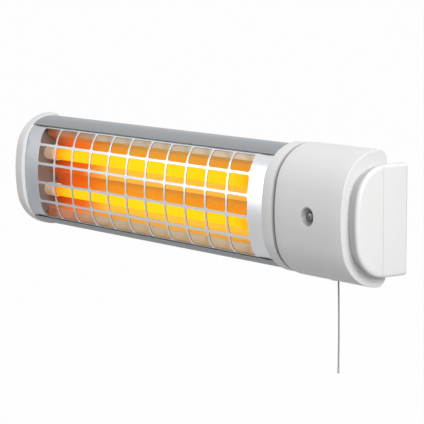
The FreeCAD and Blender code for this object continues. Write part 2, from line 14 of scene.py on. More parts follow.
import bmesh
import bpy
from mathutils import Matrix, Vector

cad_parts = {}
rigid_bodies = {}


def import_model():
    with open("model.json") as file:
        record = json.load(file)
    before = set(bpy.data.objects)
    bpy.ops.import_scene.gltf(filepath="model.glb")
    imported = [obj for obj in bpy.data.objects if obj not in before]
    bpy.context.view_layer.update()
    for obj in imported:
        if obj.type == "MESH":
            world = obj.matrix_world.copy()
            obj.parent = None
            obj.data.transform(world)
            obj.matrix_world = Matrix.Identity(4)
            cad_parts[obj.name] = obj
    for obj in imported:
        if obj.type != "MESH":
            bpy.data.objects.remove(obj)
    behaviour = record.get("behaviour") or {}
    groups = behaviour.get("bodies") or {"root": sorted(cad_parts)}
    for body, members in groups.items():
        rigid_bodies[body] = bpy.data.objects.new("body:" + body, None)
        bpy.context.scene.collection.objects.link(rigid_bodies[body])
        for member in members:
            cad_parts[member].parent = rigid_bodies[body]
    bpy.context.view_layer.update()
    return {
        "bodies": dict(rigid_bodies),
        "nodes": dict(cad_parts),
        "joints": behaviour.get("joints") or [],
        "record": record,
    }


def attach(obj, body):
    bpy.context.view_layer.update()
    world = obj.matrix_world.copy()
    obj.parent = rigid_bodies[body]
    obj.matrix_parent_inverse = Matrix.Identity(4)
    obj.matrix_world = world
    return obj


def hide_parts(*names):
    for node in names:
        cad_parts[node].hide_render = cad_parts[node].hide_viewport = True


Colour = tuple[float, float, float]
Pair = tuple[float, float]
Place = tuple[float, float, float]

log = logging.getLogger("wall_heater")
MM = 0.001
QUARTER_TURN = math.pi / 2
SMOOTH_ANGLE = 32.0
BROKEN_ANGLE = 50.0
BLACK: Colour = (0.0, 0.0, 0.0)
WHITE: Colour = (1.0, 1.0, 1.0)


class Body(Enum):
    """The bodies that the script's own pieces ride on."""

    BRACKET = "wall_bracket"
    HEATER = "heater"
    CORD = "cord"


class Slot(Enum):
    """The record's material slots."""

    BRACKET_PLASTIC = "bracket_plastic"
    FASTENER_STEEL = "fastener_steel"
    FIBRE = "fibre"
    CASING_PAINT = "casing_paint"
    GRILLE_STEEL = "grille_steel"
    REFLECTOR_ALUMINIUM = "reflector_aluminium"
    PLATE_STEEL = "plate_steel"
    QUARTZ = "quartz"
    WINDING_WIRE = "winding_wire"
    CERAMIC = "ceramic"
    TERMINAL_BRASS = "terminal_brass"
    HOUSING_PLASTIC = "housing_plastic"
    SWITCH_PLASTIC = "switch_plastic"
    CORD_BRAID = "cord_braid"
    GROMMET_RUBBER = "grommet_rubber"


@dataclass(frozen=True)
class Layout:
    """Places and sizes that several sub-assemblies and finishes go by."""

    left: float = -228.875
    right: float = 145.725
    axis_y: float = -27.0
    bearing_radius: float = 9.05
    tube_z: float = 17.7
    tube_half: float = 166.3
    screw_x: float = 205.725
    cord: Pair = (200.025, -19.0)

    @property
    def middle(self) -> float:
        """Middle of the casing along X."""
        return (self.left + self.right) / 2


LAYOUT = Layout()


class Signal:
    """A node's value that can stand in Python sums."""

    def __init__(self, bench: "Bench", socket: bpy.types.NodeSocket) -> None:
        """Keep the node bench and the output socket."""
        self.bench = bench
        self.socket = socket

    def _sum(self, operation: str, first: Any, second: Any = 0.0) -> "Signal":
        """The result of a Math node on two numbers or signals."""
        return self.bench.value("ShaderNodeMath", {"operation": operation}, {0: first, 1: second})

    def __add__(self, other: Any) -> "Signal":
        """Signal plus other."""
        return self._sum("ADD", self, other)

    def __radd__(self, other: Any) -> "Signal":
        """Other plus signal."""
        return self._sum("ADD", other, self)

    def __sub__(self, other: Any) -> "Signal":
        """Signal minus other."""
        return self._sum("SUBTRACT", self, other)

    def __rsub__(self, other: Any) -> "Signal":
        """Other minus signal."""
        return self._sum("SUBTRACT", other, self)

    def __mul__(self, other: Any) -> "Signal":
        """Signal times other."""
        return self._sum("MULTIPLY", self, other)

    def __rmul__(self, other: Any) -> "Signal":
        """Other times signal."""
        return self._sum("MULTIPLY", other, self)

    def __truediv__(self, other: Any) -> "Signal":
        """Signal over other."""
        return self._sum("DIVIDE", self, other)

    def __rtruediv__(self, other: Any) -> "Signal":
        """Other over signal."""
        return self._sum("DIVIDE", other, self)

    def __pow__(self, other: Any) -> "Signal":
        """Signal to a power."""
        return self._sum("POWER", self, other)

    def __rpow__(self, other: Any) -> "Signal":
        """Other to the signal's power."""
        return self._sum("POWER", other, self)

    def sine(self) -> "Signal":
        """Sine of the signal."""
        return self._sum("SINE", self)

    def angle_to(self, other: "Signal") -> "Signal":
        """Arctangent of this signal over another."""
        return self._sum("ARCTAN2", self, other)

    def highest(self, other: Any) -> "Signal":
        """The larger of two signals."""
        return self._sum("MAXIMUM", self, other)

    def above(self, limit: float) -> "Signal":
        """One where the signal, a place in metres, is over a limit in millimetres, and nought elsewhere."""
        return self._sum("GREATER_THAN", self, limit * MM)

    def between(self, start: float, end: float) -> "Signal":
        """Nought at one place and one at another, both in millimetres, and even between them."""
        return ((self - start * MM) / ((end - start) * MM)).held()

    def about(self, middle: float, swing: float) -> "Signal":
        """A value that swings about a middle while the signal goes from 0 to 1."""
        return middle + swing * (self - 0.5)

    def held(self) -> "Signal":
        """The signal held between 0 and 1."""
        return self.bench.value("ShaderNodeClamp", {}, {"Value": self})


class Bench:
    """A node tree while it is being put together."""

    def __init__(self, tree: bpy.types.NodeTree) -> None:
        """Start from an empty tree."""
        self.tree = tree
        tree.nodes.clear()

    def add(self, kind: str, settings: Optional[dict] = None,
            sockets: Optional[dict] = None) -> bpy.types.Node:
        """Add a node.

        Args:
            kind: Blender's type of the node.
            settings: attributes that are set first; "stops" are a ramp's (place, colour) pairs.
            sockets: values or links by a socket's name or number, or lists of links.

        Returns:
            The new node.
        """
        node = self.tree.nodes.new(kind)
        for key, value in (settings or {}).items():
            if key == "stops":
                elements = node.color_ramp.elements
                while len(elements) < len(value):
                    elements.new(1.0)
                for element, (place, colour) in zip(elements, value):
                    element.position = place
                    element.color = (*colour, 1.0)
            else:
                setattr(node, key, value)
        for key, value in (sockets or {}).items():
            for source in value if isinstance(value, list) else [value]:
                self._feed(node.inputs[key], source)
        return node

    def _feed(self, socket: bpy.types.NodeSocket, source: Any) -> None:
        """Link an input to a source or set its value.

        Args:
            socket: the input.
            source: a signal, an output socket, a colour or a plain value.
        """
        if isinstance(source, Signal):
            source = source.socket
        if isinstance(source, bpy.types.NodeSocket):
            self.tree.links.new(source, socket)
        elif socket.type == "RGBA":
            socket.default_value = (*source, 1.0)
        else:
            socket.default_value = source

    def value(self, kind: str, settings: dict, sockets: dict) -> Signal:
        """A new node's first output as a signal."""
        return Signal(self, self.add(kind, settings, sockets).outputs[0])

    def split(self, vector: bpy.types.NodeSocket) -> tuple[Signal, ...]:
        """The three numbers of a vector."""
        node = self.add("ShaderNodeSeparateXYZ", {}, {0: vector})
        return tuple(Signal(self, output) for output in node.outputs)


@dataclass(frozen=True)
class Lumps:
    """A noise: the size of its lumps, its octaves, and its scale along X, which draws them out when small."""

    size: float
    detail: float = 3.0
    drawn: float = 1.0
    roughness: float = 0.55


def shade(colour: Colour, factor: float) -> Colour:
    """A colour made lighter or darker."""
    return tuple(min(1.0, channel * factor) for channel in colour)


class MaterialBench(Bench):
    """The node tree of one material."""

    def __init__(self, name: str) -> None:
        """Start an empty material."""
        self.material = bpy.data.materials.new(name)
        self.material.use_nodes = True
        super().__init__(self.material.node_tree)

    def place(self, stretch: Place = (1.0, 1.0, 1.0)) -> bpy.types.NodeSocket:
        """Object coordinates in metres, stretched along each axis."""
        coordinates = self.add("ShaderNodeTexCoord").outputs["Object"]
        return self.add("ShaderNodeMapping", {}, {"Vector": coordinates, "Scale": stretch}).outputs[0]

    def axes(self) -> tuple[Signal, ...]:
        """Object coordinates as three signals in metres."""
        return self.split(self.place())

    def noise(self, lumps: Lumps) -> Signal:
        """A noise from 0 to 1."""
        return self.value("ShaderNodeTexNoise", {}, {
            "Vector": self.place((lumps.drawn, 1.0, 1.0)), "Scale": 1 / (lumps.size * MM),
            "Detail": lumps.detail, "Roughness": lumps.roughness})

    def blend(self, share: Signal, first: Any, second: Any) -> bpy.types.NodeSocket:
        """A colour between two colours."""
        node = self.add("ShaderNodeMix", {"data_type": "RGBA"}, {0: share, 6: first, 7: second})
        return node.outputs[2]

    def mottled(self, share: Signal, colour: Colour, factors: Pair) -> bpy.types.NodeSocket:
        """A colour between two shades of it."""
        return self.blend(share, *(shade(colour, factor) for factor in factors))

    def relief(self, height: Signal, depth: float, strength: float) -> bpy.types.NodeSocket:
        """A normal bumped by a height from 0 to 1, with the depth of the bumps and the share that shows."""
        sockets = {"Strength": strength, "Distance": depth * MM, "Height": height}
        return self.add("ShaderNodeBump", {}, sockets).outputs[0]

    def surface(self, sockets: dict) -> None:
        """Close the material with one principled shader."""
        self.close(self.add("ShaderNodeBsdfPrincipled", {}, sockets))

    def close(self, shader: bpy.types.Node) -> None:
        """Close the material with a shader."""
        self.add("ShaderNodeOutputMaterial", {}, {0: shader.outputs[0]})


@dataclass(frozen=True)
class Finish:
    """What every finish shares: a name, a slot and a material made once."""

    name: str
    slot: Slot

    def material(self) -> bpy.types.Material:
        """Find the finish's material, or make it at its first use.

        Returns:
            The material.
        """
        found = bpy.data.materials.get(self.name)
        if found:
            return found
        bench = MaterialBench(self.name)
        self.dress(bench)
        return bench.material

    def dress(self, bench: MaterialBench) -> None:
        """Put the finish's nodes on a bench."""
        raise NotImplementedError


@dataclass(frozen=True)
class Grained(Finish):
    """A fine grain in the relief, and a cloud between two shades of the colour."""

    colour: Colour = (0.8, 0.8, 0.8)
    roughness: float = 0.45
    swing: float = 0.12
    metal: float = 0.0
    specular: float = 0.5
    grain: Lumps = Lumps(0.6)
    relief: Pair = (0.012, 0.6)
    cloud: Lumps = Lumps(70.0, 2.0)
    mottle: Pair = (0.975, 1.02)
    cloudy_gloss: bool = False
    # emission colour and strength: a painted glow where a finish sets them
    lit: Colour = BLACK
    strength: float = 0.0

    def dress(self, bench: MaterialBench) -> None:
        """Put the grain in the relief, the cloud in the colour and one of them in the gloss.

        Args:
            bench: the material's bench.
        """
        grain = bench.noise(self.grain)
        cloud = bench.noise(self.cloud)
        gloss = cloud if self.cloudy_gloss else grain
        bench.surface({
            "Base Color": self.tone(bench, cloud),
            "Metallic": self.metal,
            "Specular IOR Level": self.specular,
            "Roughness": gloss.about(self.roughness, self.swing),
            "Normal": bench.relief(grain, *self.relief),
            "Emission Color": self.lit,
            "Emission Strength": self.strength,
        })

    def tone(self, bench: MaterialBench, cloud: Signal) -> bpy.types.NodeSocket:
        """The clouded colour."""
        return bench.mottled(cloud, self.colour, self.mottle)


@dataclass(frozen=True)
class MouldedPlastic(Grained):
    """Moulded plastic with a fine spark-eroded grain."""

    specular: float = 0.42


@dataclass(frozen=True)
class WallShadedPlastic(MouldedPlastic):
    """Moulded plastic with painted shade: a greyer side wall painted behind a pale outer face."""

    painted_wall_shade: float = 0.66
    painted_shade_span: Pair = (262.8, 259.5)

    def tone(self, bench: MaterialBench, cloud: Signal) -> bpy.types.NodeSocket:
        """Paint shade: turn the clouded colour greyer away from the outer end faces.

        Args:
            bench: the material's bench.
            cloud: the cloud.

        Returns:
            The colour.
        """
        along = bench.axes()[0]
        # painted shade: the side wall is darkened where shade falls beside the box
        wall = along.highest(-1.0 * along).between(*self.painted_shade_span)
        return bench.blend(wall, super().tone(bench, cloud), shade(self.colour, self.painted_wall_shade))


@dataclass(frozen=True)
class RecessShadedPlastic(MouldedPlastic):
    """Moulded plastic with painted shade: a greyer tone in the screw recess and in the groove beside the box.
    """

    screw_x: float = LAYOUT.screw_x
    front: float = -40.0
    reach: Pair = (8.6, 7.0)
    # painted shade: the colour's factor in the screw recess
    sunk: float = 0.42
    groove: Pair = (159.2, 164.0)
    painted_groove_shade: float = 0.6

    def tone(self, bench: MaterialBench, cloud: Signal) -> bpy.types.NodeSocket:
        """Paint shade: turn the clouded colour greyer where it is sunk, in the screw recess and the groove.

        Args:
            bench: the material's bench.
            cloud: the cloud.

        Returns:
            The colour.
        """
        along, depth, height = bench.axes()
        across = along - self.screw_x * MM
        start, end = ((radius * MM) ** 2 for radius in self.reach)
        # painted shade in the screw recess, on the front side only
        recess = ((across * across + height * height - start) / (end - start)).held()
        recess = recess * (1.0 - depth.above(self.front))
        # painted shade in the groove beside the box
        groove = along.above(self.groove[0]) * (1.0 - along.above(self.groove[1]))
        plain = bench.blend(groove, super().tone(bench, cloud), shade(self.colour, self.painted_groove_shade))
        return bench.blend(recess, plain, shade(self.colour, self.sunk))


@dataclass(frozen=True)
class PaintedSheet(Finish):
    """Silver-grey paint with a metal flake on rolled sheet."""

    colour: Colour = (0.3, 0.315, 0.33)
    mottle: Pair = (0.9, 1.1)
    metal: float = 0.4
    roughness: float = 0.4
    swing: float = 0.14
    flake: Lumps = Lumps(0.35, 1.0)
    flake_share: float = 0.55
    rolling: Lumps = Lumps(3.0, 4.0, 0.02)
    peel: Lumps = Lumps(2.2, 2.0)
    relief: Pair = (0.02, 0.35)

    def dress(self, bench: MaterialBench) -> None:
        """Put the flake in the colour, with long rolling marks and a slight orange peel.

        Args:
            bench: the material's bench.
        """
        rolling = bench.noise(self.rolling)
        tone = self.flake_share * bench.noise(self.flake) + (1.0 - self.flake_share) * rolling
        bench.surface({
            "Base Color": bench.mottled(tone.held(), self.colour, self.mottle),
            "Metallic": self.metal,
            "Roughness": rolling.about(self.roughness, self.swing),
            "Normal": bench.relief(bench.noise(self.peel), *self.relief),
        })


@dataclass(frozen=True)
class BrightSheet(Finish):
    """Bright pressed metal with a grain along the rolling direction, and painted shade towards its left end."""

    colour: Colour = (0.78, 0.79, 0.81)
    tint: Colour = (0.5, 0.52, 0.55)
    tinted: float = 0.3
    metal: float = 1.0
    roughness: float = 0.3
    # painted shade: the span along X over which the tint grows towards the left end
    dulled: Pair = (-100.0, -235.0)
    grain: Lumps = Lumps(0.5, 3.0, 0.03)
    grain_swing: float = 0.16
    relief: Pair = (0.008, 0.4)
    stain: Lumps = Lumps(26.0, 4.0, 0.5)
    stain_swing: float = 0.1

    def dress(self, bench: MaterialBench) -> None:
        """Put a long grain in the gloss and relief, and stains of the tint, with the tint also painted in as
        shade that grows towards the left end.

        Args:
            bench: the material's bench.
        """
        along = bench.axes()[0]
        grain = bench.noise(self.grain)
        stain = bench.noise(self.stain)
        # random stains plus painted shade that grows towards the left end
        tinted = (self.tinted * stain + along.between(*self.dulled)).held()
        bench.surface({
            "Base Color": bench.blend(tinted, self.colour, self.tint),
            "Metallic": self.metal,
            "Roughness": grain.about(self.roughness, self.grain_swing) + stain.about(0.0, self.stain_swing),
            "Normal": bench.relief(grain, *self.relief),
        })


@dataclass(frozen=True)
class TarnishedMirror(Finish):
    """Polished reflector sheet, bright below each tube, browned where the heat rises, with a painted red glow
    at one end.
    """

    bright: Colour = (0.95, 0.78, 0.35)
    browned: Colour = (0.78, 0.46, 0.16)
    flange: Colour = (0.66, 0.55, 0.41)
    painted_glow_colour: Colour = (0.78, 0.16, 0.018)
    tube_z: float = LAYOUT.tube_z
    rise: Pair = (-3.0, 5.0)
    crest: Pair = (4.0, 17.0)
    fall: Pair = (-12.0, -18.0)
    painted_glow_end: Pair = (-128.0, -165.0)
    flange_glow_cut: float = 0.5
    painted_glow_dull: float = 0.85
    metal: float = 0.75
    roughness: float = 0.34
    # strength of the painted glow towards the left end
    glow: float = 0.14
    grain: Lumps = Lumps(0.9, 3.0, 0.03)
    grain_swing: float = 0.1
    relief: Pair = (0.004, 0.4)
    cloud: Lumps = Lumps(22.0, 4.0, 0.4)
    cloud_swing: float = 0.08
    band_wander: float = 4.0
    end_wander: float = 20.0

    def dress(self, bench: MaterialBench) -> None:
        """Tarnish the sheet by its height over the nearer tube, clouded, with a rolled grain, and paint a red
        glow towards the left end.

        Args:
            bench: the material's bench.
        """
        along, _, height = bench.axes()
        grain = bench.noise(self.grain)
        cloud = bench.noise(self.cloud)
        upper = height.above(0.0)
        local = height - self.tube_z * MM * (2.0 * upper - 1.0) + cloud.about(0.0, self.band_wander * MM)
        edge = upper * local.between(*self.crest) + (1.0 - upper) * local.between(*self.fall)
        # painted glow: red-orange colour and light painted onto the sheet towards its left end
        scale = (along + cloud.about(0.0, self.end_wander * MM)).between(*self.painted_glow_end)
        tone = bench.blend(local.between(*self.rise), self.bright, self.browned)
        tone = bench.blend(edge, tone, self.flange)
        bench.surface({
            "Base Color": bench.blend(scale * (1.0 - self.flange_glow_cut * edge), tone, self.painted_glow_colour),
            "Metallic": self.metal * (1.0 - self.painted_glow_dull * scale),
            "Emission Color": bench.blend(scale, BLACK, self.painted_glow_colour),
            "Emission Strength": self.glow,
            "Roughness": grain.about(self.roughness, self.grain_swing) + cloud.about(0.0, self.cloud_swing),
            "Normal": bench.relief(grain, *self.relief),
        })


@dataclass(frozen=True)
class HeatedPlate(Grained):
    """Plain steel plate with a clouded scale, dulled and browned by heat."""

    colour: Colour = (0.3, 0.3, 0.305)
    scorch: Colour = (0.23, 0.225, 0.225)
    roughness: float = 0.55
    swing: float = 0.25
    metal: float = 0.4
    grain: Lumps = Lumps(0.8, 2.0)
    relief: Pair = (0.02, 0.4)
    cloud: Lumps = Lumps(14.0, 5.0)
    cloudy_gloss: bool = True

    def tone(self, bench: MaterialBench, cloud: Signal) -> bpy.types.NodeSocket:
        """The scorched colour."""
        return bench.blend(cloud, self.colour, self.scorch)


@dataclass(frozen=True)
class GlowingQuartz(Finish):
    """Satin quartz lit by the winding inside, dimmer towards the cold ends."""

    middle: float = LAYOUT.middle
    half_length: float = LAYOUT.tube_half
    strength: float = 1.3
    glow: tuple[tuple[float, Colour], ...] = (
        (0.0, (0.6, 0.06, 0.002)), (0.06, (0.85, 0.17, 0.002)), (0.13, (1.0, 0.36, 0.002)),
        (0.24, (1.0, 0.52, 0.002)), (1.0, (1.0, 0.57, 0.002)))
    streak: Lumps = Lumps(1.6, 3.0, 0.06)
    streak_colour: Colour = (0.9, 0.3, 0.002)
    streak_share: float = 0.12
    streak_wander: float = 0.02
    satin: Lumps = Lumps(0.5, 2.0)
    deep: Colour = (0.1, 0.03, 0.005)
    pale: Colour = (0.14, 0.05, 0.008)
    roughness: float = 0.5
    swing: float = 0.2
    specular: float = 0.06
    relief: Pair = (0.01, 0.4)

    def dress(self, bench: MaterialBench) -> None:
        """Make the glow from the distance to the tube's end, with fine lengthwise streaks.

        Args:
            bench: the material's bench.
        """
        from_middle = (bench.axes()[0] - self.middle * MM) / (self.half_length * MM)
        from_end = 1.0 - (from_middle * from_middle) ** 0.5
        streak = bench.noise(self.streak)
        satin = bench.noise(self.satin)
        share = (from_end + streak.about(0.0, self.streak_wander)).held()
        lit = bench.add("ShaderNodeValToRGB", {"stops": self.glow}, {0: share}).outputs[0]
        bench.surface({
            "Base Color": bench.blend(satin, self.deep, self.pale),
            "Roughness": satin.about(self.roughness, self.swing),
            "Specular IOR Level": self.specular,
            "Normal": bench.relief(satin, *self.relief),
            "Emission Color": bench.blend(self.streak_share * streak, lit, self.streak_colour),
            "Emission Strength": self.strength,
        })


@dataclass(frozen=True)
class Ceramic(Grained):
    """Unglazed steatite, toasted beige and slightly porous, with a painted glow as though lit through by its
    tube.
    """

    colour: Colour = (0.9, 0.79, 0.69)
    roughness: float = 0.7
    swing: float = 0.15
    grain: Lumps = Lumps(0.4, 2.0)
    relief: Pair = (0.03, 0.6)
    cloud: Lumps = Lumps(6.0, 4.0)
    mottle: Pair = (1.0, 0.72)
    # painted glow: the caps give off light though they are no lamp
    lit: Colour = (1.0, 0.62, 0.33)
    strength: float = 0.24


@dataclass(frozen=True)
class Braid(Finish):
    """Round braided cord: two sets of strands that cross on a slant."""

    colour: Colour = (0.36, 0.36, 0.36)
    mottle: Pair = (0.82, 1.12)
    middle: Pair = LAYOUT.cord
    pitch: float = 3.2
    strands: float = 4.0
    roughness: float = 0.74
    swing: float = 0.2
    fuzz: Lumps = Lumps(0.25, 2.0)
    fuzz_share: float = 0.3
    relief: Pair = (0.12, 0.7)

    def dress(self, bench: MaterialBench) -> None:
        """Cross the strands by the angle round the cord and the height along it.

        Args:
            bench: the material's bench.
        """
        x, y, z = bench.axes()
        turn = (y - self.middle[1] * MM).angle_to(x - self.middle[0] * MM) * self.strands
        climb = z * (math.tau / (self.pitch * MM))
        weave = (0.5 + 0.25 * (turn + climb).sine() + 0.25 * (turn - climb).sine()).held()
        fuzz = bench.noise(self.fuzz)
        bench.surface({
            "Base Color": bench.mottled(weave, self.colour, self.mottle),
            "Roughness": fuzz.about(self.roughness, self.swing),
            "Normal": bench.relief(weave + self.fuzz_share * fuzz, *self.relief),
        })


@dataclass(frozen=True)
class PlainMetal(Grained):
    """Plated steel, wire or brass with dulled patches over a fine grain."""

    colour: Colour = (0.22, 0.22, 0.23)
    roughness: float = 0.34
    swing: float = 0.2
    metal: float = 1.0
    grain: Lumps = Lumps(0.3, 2.0)
    relief: Pair = (0.006, 0.5)
    cloud: Lumps = Lumps(3.5)
    mottle: Pair = (1.0, 0.8)
    cloudy_gloss: bool = True


@dataclass(frozen=True)
class SoftMoulding(Grained):
    """Rubber or pressed fibre: matt, with specks in the colour, the gloss and the relief."""

    colour: Colour = (0.035, 0.035, 0.036)
    roughness: float = 0.8
    swing: float = 0.15
    grain: Lumps = Lumps(0.5, 4.0)
    relief: Pair = (0.03, 0.5)
    cloud: Lumps = Lumps(0.5, 4.0)
    mottle: Pair = (0.8, 1.15)


@dataclass(frozen=True)
class Palette:
    """Every finish of the heater."""

    # housing: painted shade in the screw recess and the groove
    housing: Finish = RecessShadedPlastic("finish_housing", Slot.HOUSING_PLASTIC, (0.82, 0.82, 0.815))
    # bracket: painted shade on the block's side wall
    bracket: Finish = WallShadedPlastic("finish_bracket", Slot.BRACKET_PLASTIC, (0.87, 0.87, 0.865), 0.42)
    switch: Finish = MouldedPlastic("finish_switch", Slot.SWITCH_PLASTIC, (0.52, 0.5, 0.46), 0.5)
    casing: Finish = PaintedSheet("finish_casing", Slot.CASING_PAINT)
    grille: Finish = BrightSheet("finish_grille", Slot.GRILLE_STEEL)
    # grille cut edges: dark raw steel, partly painted shade of the sheet's thickness
    shaded_cut_edge: Finish = BrightSheet("finish_cut_edge", Slot.GRILLE_STEEL, (0.3, 0.26, 0.22), (0.2, 0.17, 0.14),
                                   tinted=1.0, metal=0.7, roughness=0.5, dulled=(-1000.0, -2000.0))
    reflector: Finish = TarnishedMirror("finish_reflector", Slot.REFLECTOR_ALUMINIUM)
    plate: Finish = HeatedPlate("finish_plate", Slot.PLATE_STEEL)
    quartz: Finish = GlowingQuartz("finish_quartz", Slot.QUARTZ)
    winding: Finish = PlainMetal("finish_winding", Slot.WINDING_WIRE, (0.42, 0.36, 0.32), 0.5)
    ceramic: Finish = Ceramic("finish_ceramic", Slot.CERAMIC)
    brass: Finish = PlainMetal("finish_brass", Slot.TERMINAL_BRASS, (0.72, 0.56, 0.28))
    steel: Finish = PlainMetal("finish_steel", Slot.FASTENER_STEEL)
    fibre: Finish = SoftMoulding("finish_fibre", Slot.FIBRE, (0.42, 0.2, 0.12), 0.75)
    rubber: Finish = SoftMoulding("finish_rubber", Slot.GROMMET_RUBBER)
    braid: Finish = Braid("finish_braid", Slot.CORD_BRAID)


PALETTE = Palette()


def metres(point: Iterable[float]) -> tuple[float, ...]:
    """A point in metres."""
    return tuple(value * MM for value in point)


def circle(radius: float, sides: int) -> list[Pair]:
    """Points round a circle."""
    turns = [math.tau * step / sides for step in range(sides)]
    return [(radius * math.cos(turn), radius * math.sin(turn)) for turn in turns]


def mirrored(line: Sequence[Pair]) -> list[Pair]:
    """A line (y, z) and its image below, joined at the line's end."""
    return list(line) + [(y, -z) for y, z in reversed(line[:-1])]


class Workpiece:
    """A mesh while it is being built, in millimetres of the frame."""

    merge_distance = 0.002

    def __init__(self) -> None:
        """Start with no points."""
        self.points: list[Place] = []
        self.faces: list[tuple[int, ...]] = []

    def ring(self, points: Iterable[Place]) -> list[int]:
        """Add points.

        Args:
            points: the points in order.

        Returns:
            Their numbers.
        """
        start = len(self.points)
        self.points.extend(points)
        return list(range(start, len(self.points)))

    def bridge(self, first: Sequence[int], second: Sequence[int], closed: bool = True) -> None:
        """Join two rows of points with four-sided faces.

        Args:
            first: numbers of one row's points.
            second: as many numbers of the other row's points.
            closed: whether each row closes on itself.
        """
        count = len(first)
        for here in range(count if closed else count - 1):
            after = (here + 1) % count
            self.faces.append((first[here], first[after], second[after], second[here]))

    def loft(self, rings: Iterable[Iterable[Place]], closed: bool = True) -> list[list[int]]:
        """Join a row of point rings.

        Args:
            rings: the rings in order, all with the same count.
            closed: whether each ring closes on itself.

        Returns:
            The rings' point numbers.
        """
        rows = [self.ring(points) for points in rings]
        for first, second in zip(rows, rows[1:]):
            self.bridge(first, second, closed)
        return rows

    def solid(self, rings: Iterable[Iterable[Place]]) -> None:
        """Join a row of point rings and close both ends."""
        rows = self.loft(rings)
        self.faces += [tuple(rows[0]), tuple(rows[-1])]

    def sweep(self, line: Sequence[Pair], start: float, end: float, steps: int) -> None:
        """Draw a line (y, z) along X as an open skin.

        Args:
            line: the line's points.
            start: where the skin starts along X.
            end: where it ends.
            steps: steps along it.
        """
        stations = [start + (end - start) * step / steps for step in range(steps + 1)]
        self.loft([[(x, y, z) for y, z in line] for x in stations], closed=False)

    def mesh(self, name: str) -> bpy.types.Mesh:
        """Make the mesh in metres, with doubles merged and faces turned outwards.

        Args:
            name: the mesh's name.

        Returns:
            The mesh.
        """
        mesh = bpy.data.meshes.new(name)
        mesh.from_pydata([metres(point) for point in self.points], [], self.faces)
        draft = bmesh.new()
        draft.from_mesh(mesh)
        bmesh.ops.remove_doubles(draft, verts=draft.verts, dist=self.merge_distance * MM)
        bmesh.ops.recalc_face_normals(draft, faces=draft.faces)
        draft.to_mesh(mesh)
        draft.free()
        return mesh


def put(name: str, data: bpy.types.ID) -> bpy.types.Object:
    """Put data in the scene as an object.

    Args:
        name: the object's name.
        data: its mesh, curve, lamp or camera.

    Returns:
        The object, at the origin.
    """
    thing = bpy.data.objects.new(name, data)
    bpy.context.scene.collection.objects.link(thing)
    return thing


def rounded(mesh: bpy.types.Mesh, angle: float = SMOOTH_ANGLE) -> None:
    """Shade a mesh smoothly, but for edges sharper than an angle in degrees."""
    mesh.polygons.foreach_set("use_smooth", [True] * len(mesh.polygons))
    mesh.set_sharp_from_angle(angle=math.radians(angle))


def coated(mesh: bpy.types.Mesh, finish: Finish, angle: float = SMOOTH_ANGLE) -> None:
    """Give a mesh one finish and smooth shading.

    Args:
        mesh: the mesh.
        finish: its finish.
        angle: edges sharper than this many degrees stay sharp.
    """
    mesh.materials.clear()
    mesh.materials.append(finish.material())
    rounded(mesh, angle)


def stand(mesh: bpy.types.Mesh, finish: Finish, angle: float = SMOOTH_ANGLE) -> bpy.types.Object:
    """Put a mesh in the scene as a dressed object of the same name.

    Args:
        mesh: the mesh, in place.
        finish: its finish.
        angle: edges sharper than this many degrees stay sharp.

    Returns:
        The object, at the origin.
    """
    coated(mesh, finish, angle)
    return put(mesh.name, mesh)


def face_out(mesh: bpy.types.Mesh, x: float, y: float) -> None:
    """Turn an open skin so that its faces look away from a point at the middle height.

    Args:
        mesh: the skin.
        x: the point's place along the heater.
        y: its depth.
    """
    inside = Vector(metres((x, y, 0.0)))
    lean = sum(polygon.area * polygon.normal.dot(polygon.center - inside) for polygon in mesh.polygons)
    if lean < 0:
        mesh.flip_normals()


def baked(piece: bpy.types.Object) -> None:
    """Work a piece's modifiers into its mesh.

    Args:
        piece: the piece.
    """
    graph = bpy.context.evaluated_depsgraph_get()
    result = bpy.data.meshes.new_from_object(piece.evaluated_get(graph))
    piece.modifiers.clear()
    piece.data = result


def carved(piece: bpy.types.Object, form: bpy.types.Mesh) -> None:
    """Cut a closed form out of a closed piece.

    Args:
        piece: the piece.
        form: the form, in place.
    """
    tool = put(form.name, form)
    cut = piece.modifiers.new("cut", "BOOLEAN")
    cut.operation = "DIFFERENCE"
    cut.solver = "EXACT"
    cut.object = tool
    baked(piece)
    bpy.data.objects.remove(tool)


def drilled(piece: bpy.types.Object, holes: Sequence[tuple[Place, Place, float]], sides: int = 40) -> None:
    """Cut round holes through a closed piece.

    Args:
        piece: the piece.
        holes: each hole's two ends and its diameter.
        sides: sides of a hole.
    """
    for start, end, diameter in holes:
        axis = Vector(end) - Vector(start)
        turn = Vector((0, 0, 1)).rotation_difference(axis.normalized()).to_matrix()
        outline = circle(diameter / 2, sides)
        drill = Workpiece()
        drill.solid([[tuple(Vector(start) + turn @ Vector((u, v, level))) for u, v in outline]
                     for level in (0.0, axis.length)])
        carved(piece, drill.mesh("drill"))


def thicken(piece: bpy.types.Object, sheet: float, edge: float, steps: int = 2,
            rim: Optional[Finish] = None) -> None:
    """Give a skin its sheet thickness inwards and break its edges.

    Args:
        piece: the open skin, faces outwards.
        sheet: thickness of the sheet.
        edge: width of the broken edges.
        steps: steps across a broken edge.
        rim: finish of the cut edges, where it differs.
    """
    wall = piece.modifiers.new("sheet", "SOLIDIFY")
    if rim:
        piece.data.materials.append(rim.material())
        wall.material_offset_rim = 1
    wall.thickness = sheet * MM
    wall.offset = -1.0
    wall.use_even_offset = True
    ease = piece.modifiers.new("edges", "BEVEL")
    ease.width = edge * MM
    ease.segments = steps
    ease.limit_method = "ANGLE"
    ease.angle_limit = math.radians(BROKEN_ANGLE)
    ease.harden_normals = True


